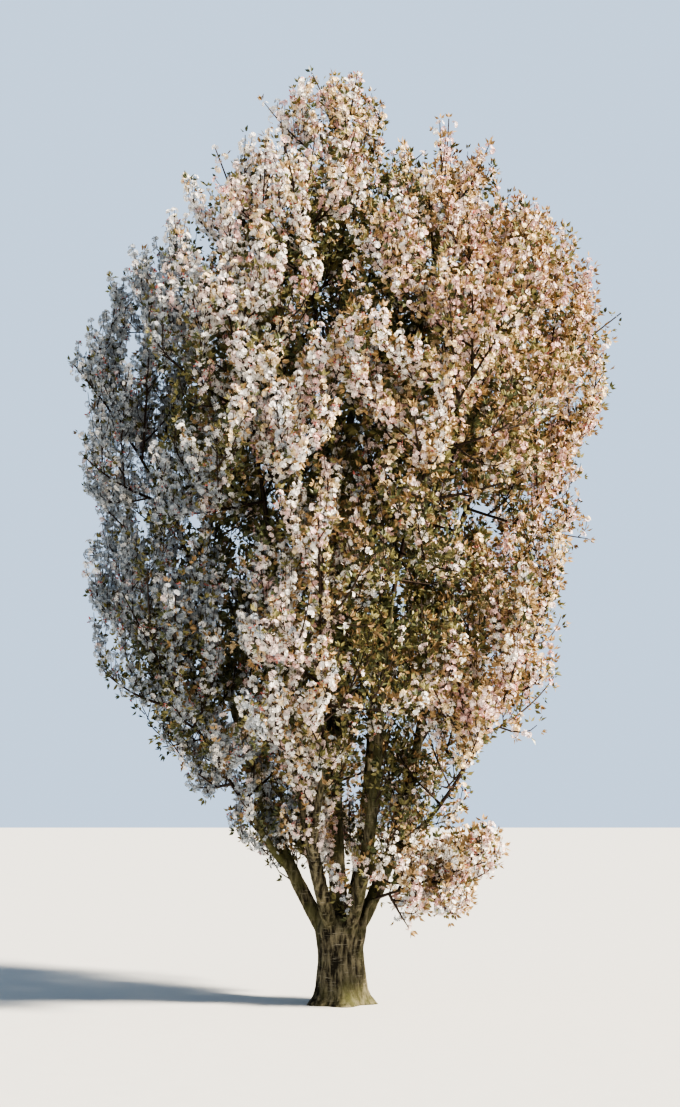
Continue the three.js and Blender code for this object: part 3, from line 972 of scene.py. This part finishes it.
def mesh_group(name):
    """An empty geometry node group that takes a mesh in and gives one out."""
    return node_group(name, "Geometry", {"Geometry": "Geometry"}, {"Geometry": "Geometry"})


def per_point(piece, group, name, kind, values):
    """Writes one value on each point of a carrier and reads it back in a node group."""
    attribute = piece.data.attributes.new(name, kind, "POINT")
    attribute.data.foreach_set("value", np.ascontiguousarray(values).ravel())
    reader = new_node(group, "GeometryNodeInputNamedAttribute", {"Name": name}, data_type=kind)
    return reader.outputs["Attribute"]


def built(piece, group):
    """Applies a node group to its carrier."""
    piece.modifiers.new(group.name, "NODES").node_group = group
    apply_modifiers(piece)
    bpy.data.node_groups.remove(group)
    for name in [a.name for a in piece.data.attributes if a.name.startswith("spray_")]:
        piece.data.attributes.remove(piece.data.attributes[name])
    return piece


def stamped(name, shapes, spurs):
    """Sets a copy of one of the shapes on every spur and joins them all into one mesh."""
    piece = carrier(name, spurs["place"])
    collection = bpy.data.collections.new(name + "_shapes")
    for shape in shapes:
        collection.objects.link(shape)
    group, source, result = mesh_group(name + "_stamp")
    picked = {"Collection": collection, "Separate Children": True, "Reset Children": True}
    pick = new_node(group, "GeometryNodeCollectionInfo", picked)
    turns, sizes = (spurs[key].astype(np.float32) for key in ("turn", "size"))
    shown = {
        "Points": source.outputs["Geometry"],
        "Instance": pick.outputs["Instances"],
        "Pick Instance": True,
        "Instance Index": per_point(piece, group, "spray_shape", "INT", spurs["shape"].astype(np.int32)),
        "Rotation": per_point(piece, group, "spray_turn", "QUATERNION", turns),
        "Scale": per_point(piece, group, "spray_size", "FLOAT", sizes),
    }
    stamp = new_node(group, "GeometryNodeInstanceOnPoints", shown)
    realize = new_node(group, "GeometryNodeRealizeInstances", {"Geometry": stamp.outputs["Instances"]})
    feed(group, result, {"Geometry": realize.outputs["Geometry"]})
    built(piece, group)
    bpy.data.collections.remove(collection)
    return piece


def finished(piece, material, of_blossom=True):
    """Gives a piece its material, its body and the nodes that it stands for: all masses, or all limbs."""
    piece.data.materials.clear()
    piece.data.materials.append(material)
    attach(piece, "root")
    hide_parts(*[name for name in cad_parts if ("blossom" in name) == of_blossom])


# Materials


def noise(tree, vector, scale, detail, roughness=0.55):
    inputs = {"Vector": vector, "Scale": scale, "Detail": detail, "Roughness": roughness}
    return new_node(tree, "ShaderNodeTexNoise", inputs).outputs["Fac"]


def ranged(tree, value, low, high, to_low=0.0, to_high=1.0):
    """A value moved from one range to another. The ends may be numbers or sockets."""
    inputs = {"Value": value, "From Min": low, "From Max": high, "To Min": to_low, "To Max": to_high}
    return new_node(tree, "ShaderNodeMapRange", inputs).outputs["Result"]


def grain_group():
    """Fine veins and soft patches, for petals, leaves and twigs."""
    name = "fine_grain"
    if name in bpy.data.node_groups:
        return bpy.data.node_groups[name]
    inputs = {"Vector": "Vector", "Scale": "Float", "Smoothest": "Float", "Roughest": "Float"}
    group, source, result = node_group(name, "Shader", inputs, {"Roughness": "Float", "Height": "Float"})
    vector, scale, low, high = (source.outputs[label] for label in inputs)
    roughness = ranged(group, noise(group, vector, *GRAIN_PATCHES), *GRAIN_RANGE, low, high)
    feed(group, result, {"Roughness": roughness, "Height": noise(group, vector, scale, GRAIN_DETAIL)})
    return group


def patterned(name, group, inputs, bump, depth):
    """A material, its shader and its pattern, which runs over object coordinates and gives the relief."""
    material = bpy.data.materials.new(name)
    material.use_nodes = True
    tree = material.node_tree
    shader = tree.nodes["Principled BSDF"]
    place = new_node(tree, "ShaderNodeTexCoord", {}).outputs["Object"]
    pattern = new_node(tree, "ShaderNodeGroup", {"Vector": place, **inputs}, node_tree=group)
    raised = {"Strength": bump, "Distance": depth, "Height": pattern.outputs["Height"]}
    feed(tree, shader, {"Normal": new_node(tree, "ShaderNodeBump", raised).outputs["Normal"]})
    return material, shader, pattern


def plain_material(name, surface, colour):
    """One plain base colour, with fine grain in its roughness and its relief."""
    (smoothest, roughest), scale, bump, sheen = SURFACES[surface]
    grain = {"Scale": scale, "Smoothest": smoothest, "Roughest": roughest}
    material, shader, pattern = patterned(name, grain_group(), grain, bump, GRAIN_DEPTH)
    look = {"Base Color": (*colour, 1), "Specular IOR Level": PLAIN_SPECULAR, "Sheen Weight": sheen}
    feed(material.node_tree, shader, {**look, "Roughness": pattern.outputs["Roughness"]})
    return material


def bark_group():
    """Bark: furrows along the limb, short pale bands across it, and a film of moss in patches."""
    outputs = dict.fromkeys((*BARK_RANGES, "Height"), "Float")
    group, source, result = node_group("bark_pattern", "Shader", {"Vector": "Vector"}, outputs)
    noises = {}
    for name, (stretch, *shape) in BARK_NOISES.items():
        mapped = {"Vector": source.outputs["Vector"], "Scale": stretch}
        vector = new_node(group, "ShaderNodeMapping", mapped).outputs["Vector"]
        noises[name] = noise(group, vector, *shape)
    summed = {0: noises["Cracks"], 1: CRACK_SHARE, 2: noises["Plates"]}
    height = new_node(group, "ShaderNodeMath", summed, operation="MULTIPLY_ADD").outputs["Value"]
    shown = {name: ranged(group, noises[name], *ends) for name, ends in BARK_RANGES.items()}
    feed(group, result, {**shown, "Height": height})
    return group


def bark_material(colours):
    """Dark furrows, lighter plates with pale bands, and green moss in patches."""
    material, shader, pattern = patterned("cherry_bark", bark_group(), {}, *BARK_BUMP)
    tree = material.node_tree
    colour = (*colours.bark_dark, 1)
    for mask, over in (("Plates", "bark_light"), ("Bands", "bark_band"), ("Moss", "bark_moss")):
        inputs = {"Factor": pattern.outputs[mask], UNDER: colour, OVER: (*getattr(colours, over), 1)}
        colour = new_node(tree, "ShaderNodeMix", inputs, data_type="RGBA").outputs[MIXED]
    roughness = ranged(tree, pattern.outputs["Plates"], 0.0, 1.0, *BARK_SHINE)
    feed(tree, shader, {"Base Color": colour, "Specular IOR Level": BARK_SPECULAR, "Roughness": roughness})
    return material


# Bark: the trunk and the limbs as one skin


def model_trunk():
    """A ring at the root flare, drawn up the outline ring by ring, then given its root lobes."""
    deselect()
    bpy.ops.mesh.primitive_circle_add(vertices=TRUNK_SIDES, radius=ROOT_FLARE_RADIUS, fill_type="NGON")
    trunk = added("trunk_form")
    outline = trunk_outline(TRUNK_RINGS)
    edit_all()
    for (radius, height), (next_radius, next_height) in zip(outline, outline[1:]):
        rise = {"value": (0, 0, next_height - height)}
        bpy.ops.mesh.extrude_region_move(TRANSFORM_OT_translate=rise)
        narrowing = next_radius / radius
        bpy.ops.transform.resize(value=(narrowing, narrowing, 1))
    bpy.ops.mesh.select_all(action="SELECT")
    bpy.ops.mesh.normals_make_consistent(inside=False)
    leave_edit()
    for vertex in trunk.data.vertices:
        widening = 1 + root_lobes(math.atan2(vertex.co.y, vertex.co.x), vertex.co.z)
        vertex.co.x *= widening
        vertex.co.y *= widening
    return trunk


def trunk_outline(steps):
    """Radius and height up the trunk, on a smooth curve through the outline's points."""
    rest = [(x * WAIST_RADIUS, y * TRUNK_HEIGHT) for x, y in TRUNK_OUTLINE]
    points = np.array([(ROOT_FLARE_RADIUS, 0), *rest])
    padded = np.concatenate([points[:1], points, points[-1:]])
    outline = []
    for t in np.linspace(0, len(points) - 1, steps + 1):
        i = min(int(t), len(points) - 2)
        a, b, c, d = padded[i : i + 4]
        t -= i
        start_slope, end_slope = (c - a) / 2, (d - b) / 2
        cubic = 2 * b - 2 * c + start_slope + end_slope
        square = -3 * b + 3 * c - 2 * start_slope - end_slope
        outline.append(cubic * t**3 + square * t**2 + start_slope * t + b)
    outline[0][1] = 0
    return outline


def root_lobes(turn, height):
    """Root buttresses fade out upwards and slight flutes run on to the head."""
    fade = math.exp(-height / (BUTTRESSES["fade"] * TRUNK_HEIGHT))
    lobes = [s["depth"] * math.cos(s["count"] * turn + s["turn"]) for s in (BUTTRESSES, FLUTES)]
    return lobes[0] * fade + lobes[1]


def model_limb(curve, radii):
    """A tapering limb: a curve of two handles with a round section, made a mesh."""
    deselect()
    bpy.ops.curve.primitive_bezier_curve_add(location=(0, 0, 0))
    limb = added("limb_form")
    first, last = limb.data.splines[0].bezier_points
    for point in (first, last):
        point.handle_left_type = point.handle_right_type = "FREE"
    first.co, first.handle_right, last.handle_left, last.co = curve
    first.handle_left = 2 * first.co - first.handle_right
    last.handle_right = 2 * last.co - last.handle_left
    first.radius, last.radius = radii
    limb.data.dimensions = "3D"
    limb.data.resolution_u = LIMB_STEPS
    limb.data.bevel_depth = 1
    limb.data.bevel_resolution = LIMB_ROUNDNESS
    limb.data.use_fill_caps = True
    bpy.ops.object.convert(target="MESH")
    return limb


def half_cut(form, name, level, upwards):
    """A closed copy of a form above or below a level."""
    select_only(form)
    bpy.ops.object.duplicate()
    half = added(name)
    edit_all()
    cleared = {"clear_inner": upwards, "clear_outer": not upwards}
    bpy.ops.mesh.bisect(plane_co=(0, 0, level), plane_no=(0, 0, 1), use_fill=True, **cleared)
    leave_edit()
    return half


def skinned(form, detail, relief, layers):
    """One skin over overlapping forms, smoothed where they meet and roughened by layers of relief."""
    remesh = form.modifiers.new("skin", "REMESH")
    remesh.mode = "VOXEL"
    remesh.voxel_size = detail
    remesh.use_smooth_shade = True
    smooth = form.modifiers.new("smooth", "SMOOTH")
    smooth.factor, smooth.iterations = SKIN_SMOOTHING
    apply_modifiers(form)
    weights = form.vertex_groups.new(name="relief")
    heights = np.empty(3 * len(form.data.vertices))
    form.data.vertices.foreach_get("co", heights)
    steps = np.clip(np.interp(heights[2::3], RELIEF_LEVELS, (0, RELIEF_STEPS)).round(), 0, RELIEF_STEPS)
    for step in range(RELIEF_STEPS + 1):
        share = mix(RELIEF_SHARES, step / RELIEF_STEPS)
        weights.add(np.flatnonzero(steps == step).tolist(), share, "REPLACE")
    for share, size, stretch in layers:
        texture = bpy.data.textures.new("relief", "CLOUDS")
        texture.noise_scale = size
        texture.noise_depth = RELIEF_OCTAVES
        frame_of = bpy.data.objects.new("relief", None)
        bpy.context.scene.collection.objects.link(frame_of)
        frame_of.scale = (1, 1, stretch)
        displace = form.modifiers.new("relief", "DISPLACE")
        displace.texture = texture
        displace.texture_coords = "OBJECT"
        displace.texture_coords_object = frame_of
        displace.strength = relief * share
        displace.mid_level = 0.5
        displace.vertex_group = "relief"
        bpy.context.view_layer.update()
        apply_modifiers(form)
        removed(frame_of)
        bpy.data.textures.remove(texture)
    form.vertex_groups.clear()
    return form


class CHERRY_OT_bark(bpy.types.Operator):
    """Makes the trunk and all limbs as one skin of bark"""

    bl_idname = "cherry.bark"
    bl_label = "Trunk and Boughs"

    def execute(self, context):
        sizes = context.scene.cherry_sizes
        limbs = laid_out()[1]
        form = joined("bark_form", [model_trunk(), *(model_limb(curve, radii) for curve, radii in limbs)])
        low = half_cut(form, "bark_low", BARK_SPLIT + BARK_OVERLAP, False)
        low = skinned(low, sizes.bark_detail, sizes.bark_relief, (RIDGES, PLATES))
        high = half_cut(form, "bark_high", BARK_SPLIT, True)
        high = skinned(high, sizes.limb_detail, sizes.bark_relief, (RIDGES,))
        removed(form)
        bark = joined("bark", [low, high])
        for vertex in bark.data.vertices:
            vertex.co.z = max(vertex.co.z, 0)
        bpy.ops.object.shade_smooth()
        finished(bark, bark_material(context.scene.cherry_colours), of_blossom=False)
        return {"FINISHED"}


# Twigs, blossom and leaves


@cache
def laid_out():
    masses = lay_out_masses()
    return masses, lay_out_boughs(masses)


@cache
def all_shoots():
    """Every shoot of every mass, grown once and shared by the twigs, the blossom and the leaves."""
    masses, limbs = laid_out()
    gaps = LimbGaps(limbs)
    return grow_finer(masses, [shoot for mass in masses for shoot in grow_mass(mass, gaps)], gaps)


class CHERRY_OT_twigs(bpy.types.Operator):
    """Makes the stems, branches and shoots that carry the blossom"""

    bl_idname = "cherry.twigs"
    bl_label = "Twigs"

    def execute(self, context):
        places, edges, radii = [], [], []
        for shoot in all_shoots():
            steps = TWIG_STEPS[shoot.kind]
            shares = np.linspace(0, 1, steps + 1)
            start, end = SHOOT_RADII[shoot.kind]
            if shoot.kind == "stem":
                start = shoot.mass.end_radius
            first = len(places)
            places.extend(point_on(shoot.curve, shares))
            radii.extend(mix((start, end), shares))
            edges.extend((first + i, first + i + 1) for i in range(steps))
        twigs = carrier("twigs", places, edges)
        group, source, result = mesh_group("twig_tubes")
        line = new_node(group, "GeometryNodeMeshToCurve", {"Mesh": source.outputs["Geometry"]})
        section = new_node(group, "GeometryNodeCurvePrimitiveCircle", {"Resolution": TWIG_SIDES, "Radius": 1})
        drawn = {
            "Curve": line.outputs["Curve"],
            "Profile Curve": section.outputs["Curve"],
            "Scale": per_point(twigs, group, "spray_radius", "FLOAT", np.array(radii, np.float32)),
            "Fill Caps": True,
        }
        tube = new_node(group, "GeometryNodeCurveToMesh", drawn)
        feed(group, result, {"Geometry": tube.outputs["Mesh"]})
        built(twigs, group)
        bpy.ops.object.shade_smooth()
        finished(twigs, plain_material("twig_bark", "twig", context.scene.cherry_colours.twig))
        return {"FINISHED"}


def spurs_on(shoot, spacing, rng):
    """Places and directions of the spurs that turn round a shoot, with one at its tip."""
    length = size_of(np.diff(shoot.curve, axis=0)).sum()
    bare = BARE_SHARE[shoot.kind]
    count = max(2, round(length * (1 - bare) / spacing))
    shares = bare + (1 - bare) * (np.arange(count) + rng.random(count)) / count
    tangents = tangent_at(shoot.curve, shares)
    rolls = rng.normal(rng.random() * SPUR_ROLLS["first"], SPUR_ROLLS["jitter"], count)
    rolls += GOLDEN_ANGLE * np.arange(count)
    away = side_headings(tangents, 90, rolls)
    towards = away + SPUR_LEAN["along"] * tangents + SPUR_LEAN["up"] * UP
    towards[-1] = tangents[-1]
    away[-1] = 0
    return point_on(shoot.curve, shares) + away * SPUR_OFFSET[shoot.kind], unit(towards)


def turns_towards(directions, rng):
    """Quaternions that point +Z in each direction, with a random roll round it."""
    x, y, z = directions.T
    aim = np.stack([1 + z, -y, x, np.zeros_like(x)], axis=1)
    aim[z < NEARLY_DOWN] = (0, 1, 0, 0)
    aim = unit(aim)
    half = rng.random(len(x)) * np.pi
    c, s = np.cos(half), np.sin(half)
    w, i, j, _ = aim.T
    return np.stack([w * c, i * c + j * s, j * c - i * s, w * s], axis=1)


@cache
def all_spurs(spacing):
    """Every spur of the crown: its place, its direction and the random number of its shoot."""
    rng = np.random.default_rng(CROWN_SEED)
    places, towards, dealt = [], [], []
    for shoot in all_shoots():
        where, which_way = spurs_on(shoot, spacing, rng)
        places.append(where)
        towards.append(which_way)
        dealt.append(np.full(len(where), rng.random()))
    return tuple(np.concatenate(part) for part in (places, towards, dealt))


@cache
def in_flower(spacing):
    """Which spurs flower. Deep in the crown, in its hollows and between its plumes fewer do."""
    places = all_spurs(spacing)[0]
    share = by_side(places, BLOSSOM_SHARE) * mix((1, THIN_SHARE), inner_share(places))
    share *= 1 - HOLLOW_LOSS * nearness(places, SHADE_HOLLOWS, HOLLOW_EDGE)
    share *= mix((GAP_FLOWERS, 1), plume_share(places))
    return np.random.default_rng(CROWN_SEED + 1).random(len(places)) < share


def chosen(spurs, keep, cluster, rng):
    """The spurs that a mask keeps, each with a roll, a size and a shape of its cluster."""
    places, towards, _ = spurs
    count = int(keep.sum())
    return {
        "place": places[keep],
        "turn": turns_towards(towards[keep], rng),
        "size": rng.uniform(*CLUSTERS[cluster]["sizes"], count),
        "shape": rng.integers(0, CLUSTERS[cluster]["shapes"], count),
    }


def dealt_kinds(spurs, shares, lean, rng):
    """Deals each spur a tint, mostly alike along one shoot, by shares that change across the crown."""
    places, _, dealt = spurs
    ends = np.array([by_side(places, values, lean) for values in shares.values()]).T
    steps = np.cumsum(ends / ends.sum(axis=1)[:, None], axis=1)
    draws = np.where(rng.random(len(places)) < SAME_ON_SHOOT, dealt, rng.random(len(places)))
    return (draws[:, None] > steps).sum(axis=1)


def model_petals(width):
    """Five petals round one centre, each a single face that widens and rises to its edge."""
    deselect()
    bpy.ops.mesh.primitive_circle_add(vertices=3, radius=1, fill_type="NGON")
    flower = added("flower_form")
    length = width / 2
    edit_all()
    bpy.ops.transform.translate(value=(0, -1, 0))
    size = (PETAL_WIDTH * length / math.sqrt(3), length / 1.5, 1)
    bpy.ops.transform.resize(value=size, center_override=(0, 0, 0))
    select_vertices(flower, lambda co: co.y < -0.5 * length)
    bpy.ops.transform.translate(value=(0, 0, PETAL_RISE * length))
    select_vertices(flower, lambda co: co.x > 0.1 * length)
    bpy.ops.transform.translate(value=(0, 0, PETAL_TWIST * length))
    bpy.ops.mesh.select_all(action="SELECT")
    others = PETALS - 1
    turn = 2 * math.pi / PETALS * others
    bpy.ops.mesh.spin(steps=others, dupli=True, angle=turn, center=(0, 0, 0), axis=(0, 0, 1))
    leave_edit()
    return flower


def set_round(name, part, count, stand, leans, seed):
    """Copies of one part set round a spur, each leaning out from it and standing off it."""
    rng = np.random.default_rng(seed)
    copies = []
    for i in range(count):
        select_only(part)
        bpy.ops.object.duplicate()
        copy = bpy.context.active_object
        lean = math.radians(rng.uniform(*leans) if i else leans[0] * FIRST_LEAN)
        turn = GOLDEN_ANGLE * i + rng.uniform(-TURN_JITTER, TURN_JITTER)
        aim = Matrix.Rotation(turn, 4, "Z") @ Matrix.Rotation(lean, 4, "Y")
        aim = aim @ Matrix.Translation((0, 0, stand * rng.uniform(*STAND_JITTER)))
        roll = Matrix.Rotation(rng.uniform(0, math.tau), 4, "Z")
        copy.matrix_world = aim @ (roll @ Matrix.Rotation(rng.uniform(-TILT_JITTER, TILT_JITTER), 4, "X"))
        copies.append(copy)
    whole = joined(name, copies)
    bpy.ops.object.transform_apply(location=True, rotation=True, scale=True)
    return whole


def clusters(kind, part, stand):
    """All shapes of one kind of cluster, made of copies of one part."""
    cluster = CLUSTERS[kind]
    shapes = []
    for i in range(cluster["shapes"]):
        count = cluster["parts"][i % 2]
        shapes.append(set_round(f"{kind}_{i}", part, count, stand, cluster["leans"], CROWN_SEED + i))
    removed(part)
    return shapes


class CHERRY_OT_blossom(bpy.types.Operator):
    """Makes the open flowers, in one piece for each tint of petal"""

    bl_idname = "cherry.blossom"
    bl_label = "Blossom"

    def execute(self, context):
        sizes = context.scene.cherry_sizes
        rng = np.random.default_rng(CROWN_SEED + 2)
        spurs = all_spurs(sizes.spur_spacing)
        flowering = in_flower(sizes.spur_spacing)
        kinds = dealt_kinds(spurs, PETAL_SHARES, SHADE_LINE_LEAN, rng)
        width = sizes.flower_width
        umbels = clusters("umbel", model_petals(width), UMBEL_STAND * width)
        for kind, name in enumerate(PETAL_SHARES):
            kept = chosen(spurs, flowering & (kinds == kind), "umbel", rng)
            material = plain_material(f"petals_{name}", "petal", getattr(context.scene.cherry_colours, name))
            finished(stamped(f"blossom_{name}", umbels, kept), material)
        removed(*umbels)
        return {"FINISHED"}


def model_bud(length):
    """A closed bud: two slim cones of three faces, one below the other."""
    deselect()
    bpy.ops.mesh.primitive_cone_add(vertices=3, radius1=BUD_RADIUS * length, depth=BUD_HEIGHT * length)
    bud = added("bud_form")
    edit_all()
    select_vertices(bud, lambda co: co.z < 0)
    bpy.ops.mesh.extrude_region_move(TRANSFORM_OT_translate={"value": (0, 0, -BUD_STALK * length)})
    bpy.ops.mesh.merge(type="CENTER")
    leave_edit()
    return bud


class CHERRY_OT_buds(bpy.types.Operator):
    """Makes the closed buds on their stalks among the flowers"""

    bl_idname = "cherry.buds"
    bl_label = "Buds"

    def execute(self, context):
        sizes = context.scene.cherry_sizes
        rng = np.random.default_rng(CROWN_SEED + 3)
        spurs = all_spurs(sizes.spur_spacing)
        keep = in_flower(sizes.spur_spacing) & (rng.random(len(spurs[0])) < BUD_SHARE)
        groups = clusters("buds", model_bud(sizes.bud_length), BUD_STAND * sizes.bud_length)
        piece = stamped("buds", groups, chosen(spurs, keep, "buds", rng))
        removed(*groups)
        finished(piece, plain_material("bud_scales", "bud", context.scene.cherry_colours.bud))
        return {"FINISHED"}


def model_leaf(length):
    """A young leaf of two faces, folded along its rib."""
    deselect()
    bpy.ops.mesh.primitive_plane_add(size=1)
    leaf = added("leaf_form")
    edit_all()
    bpy.ops.transform.rotate(value=math.pi / 4, orient_axis="Z", center_override=(0, 0, 0))
    half = math.sqrt(0.5)
    bpy.ops.transform.resize(value=(length / 2 / half, LEAF_WIDTH * length / 2 / half, 1))
    bpy.ops.transform.translate(value=(length / 2, 0, 0))
    select_vertices(leaf, lambda co: abs(co.y) < length / 10)
    bpy.ops.mesh.vert_connect_path()
    select_vertices(leaf, lambda co: abs(co.y) > length / 10)
    bpy.ops.transform.translate(value=[share * length for share in LEAF_FOLD])
    bpy.ops.mesh.select_all(action="SELECT")
    bpy.ops.transform.rotate(value=math.pi / 2, orient_axis="Y", center_override=(0, 0, 0))
    leave_edit()
    return leaf


class CHERRY_OT_leaves(bpy.types.Operator):
    """Makes the young leaves in tufts, in one piece for each tint"""

    bl_idname = "cherry.leaves"
    bl_label = "Young Leaves"

    def execute(self, context):
        sizes = context.scene.cherry_sizes
        rng = np.random.default_rng(CROWN_SEED + 4)
        spurs = all_spurs(sizes.spur_spacing)
        places, towards, _ = spurs
        shade_hollow = nearness(places, SHADE_HOLLOWS, HOLLOW_EDGE)
        gap = 1 - plume_share(places)
        deep = inner_share(places)
        share = by_side(places, LEAFINESS, LEAF_LEAN) * (1 - gap) + GAP_LEAVES * np.maximum(gap, deep)
        share += HOLLOW_LEAVES * shade_hollow
        keep = rng.random(len(places)) < share
        kinds = dealt_kinds(spurs, LEAF_SHARES, LEAF_LEAN, rng)
        # Painted shade: dark green leaf tints dealt in the hollows, deep in the crown and in the gaps between
        # plumes
        shade_green_share = np.maximum.reduce([shade_hollow, DEEP_SHADE_GREEN * deep, by_side(places, GAP_SHADE_GREEN) * gap])
        green = rng.random(len(places)) < shade_green_share
        kinds[green] = rng.integers(*SHADE_GREEN_LEAVES, int(green.sum()))
        tufts = clusters("tuft", model_leaf(sizes.leaf_length), LEAF_STAND)
        for kind, name in enumerate(LEAF_SHARES):
            alike = keep & (kinds == kind)
            kept = chosen(spurs, alike, "tuft", rng)
            kept["place"] = kept["place"] + TUFT_STAND * towards[alike]
            kept["size"] *= mix((1, DEEP_LEAF_SIZE), deep[alike])
            material = plain_material(f"leaves_{name}", "leaf", getattr(context.scene.cherry_colours, name))
            finished(stamped(f"leaves_{name}", tufts, kept), material)
        removed(*tufts)
        return {"FINISHED"}


# Stage


def backdrop():
    """A pale backdrop that is seen brighter than it lights the tree."""
    world = bpy.data.worlds.new("backdrop")
    world.use_nodes = True
    tree = world.node_tree
    colour = (*SKY_COLOUR, 1)
    light = tree.nodes["Background"]
    feed(tree, light, {"Color": colour, "Strength": SKY_STRENGTH})
    seen = new_node(tree, "ShaderNodeBackground", {"Color": colour, "Strength": BACKDROP_STRENGTH})
    from_camera = new_node(tree, "ShaderNodeLightPath", {}).outputs["Is Camera Ray"]
    shaders = {"Fac": from_camera, 1: light.outputs["Background"], 2: seen.outputs["Background"]}
    either = new_node(tree, "ShaderNodeMixShader", shaders)
    feed(tree, tree.nodes["World Output"], {"Surface": either.outputs["Shader"]})
    return world


class CHERRY_OT_stage(bpy.types.Operator):
    """Sets the floor, the soft lights, the pale backdrop and the photographed view"""

    bl_idname = "cherry.stage"
    bl_label = "Floor, Lights and View"

    def execute(self, context):
        scene = context.scene
        deselect()
        bpy.ops.object.camera_add(location=CAMERA_PLACE, rotation=(math.radians(CAMERA_PITCH), 0, 0))
        camera = added("view")
        camera.data.sensor_fit = "VERTICAL"
        camera.data.sensor_height = CAMERA_SENSOR
        camera.data.lens = CAMERA_LENS
        camera.data.clip_end = CAMERA_END
        scene.camera = camera
        bpy.ops.mesh.primitive_plane_add(size=FLOOR_SIZE)
        floor = added("floor")
        floor.data.materials.append(plain_material("pale_floor", "floor", FLOOR_COLOUR))
        bpy.ops.object.light_add(type="SUN", rotation=[math.radians(angle) for angle in SUN_TURN])
        sun = added("sun")
        sun.data.energy = SUN_STRENGTH
        sun.data.angle = math.radians(SUN_SOFTNESS)
        sun.data.color = SUN_COLOUR
        scene.world = backdrop()
        scene.view_settings.look = "AgX - High Contrast"
        return {"FINISHED"}


PIECES = (
    CHERRY_OT_stage,
    CHERRY_OT_bark,
    CHERRY_OT_twigs,
    CHERRY_OT_blossom,
    CHERRY_OT_buds,
    CHERRY_OT_leaves,
)


class CHERRY_PT_panel(bpy.types.Panel):
    """Lists the tree's pieces, its sizes and its colours"""

    bl_idname = "CHERRY_PT_panel"
    bl_label = "Flowering Cherry"
    bl_space_type = "VIEW_3D"
    bl_region_type = "UI"
    bl_category = "Cherry"

    def draw(self, context):
        for group in (context.scene.cherry_sizes, context.scene.cherry_colours):
            box = self.layout.box()
            for name in group.__annotations__:
                box.prop(group, name)
        for operator in PIECES:
            self.layout.operator(operator.bl_idname)


CLASSES = (CherrySizes, CherryColours, *PIECES, CHERRY_PT_panel)


def register():
    for cls in CLASSES:
        bpy.utils.register_class(cls)
    bpy.types.Scene.cherry_sizes = PointerProperty(type=CherrySizes)
    bpy.types.Scene.cherry_colours = PointerProperty(type=CherryColours)


def unregister():
    del bpy.types.Scene.cherry_colours
    del bpy.types.Scene.cherry_sizes
    for cls in reversed(CLASSES):
        bpy.utils.unregister_class(cls)


def main():
    register()
    bpy.ops.cherry.stage()
    bpy.ops.cherry.bark()
    bpy.ops.cherry.twigs()
    bpy.ops.cherry.blossom()
    bpy.ops.cherry.buds()
    bpy.ops.cherry.leaves()


if __name__ == "__main__":
    main()
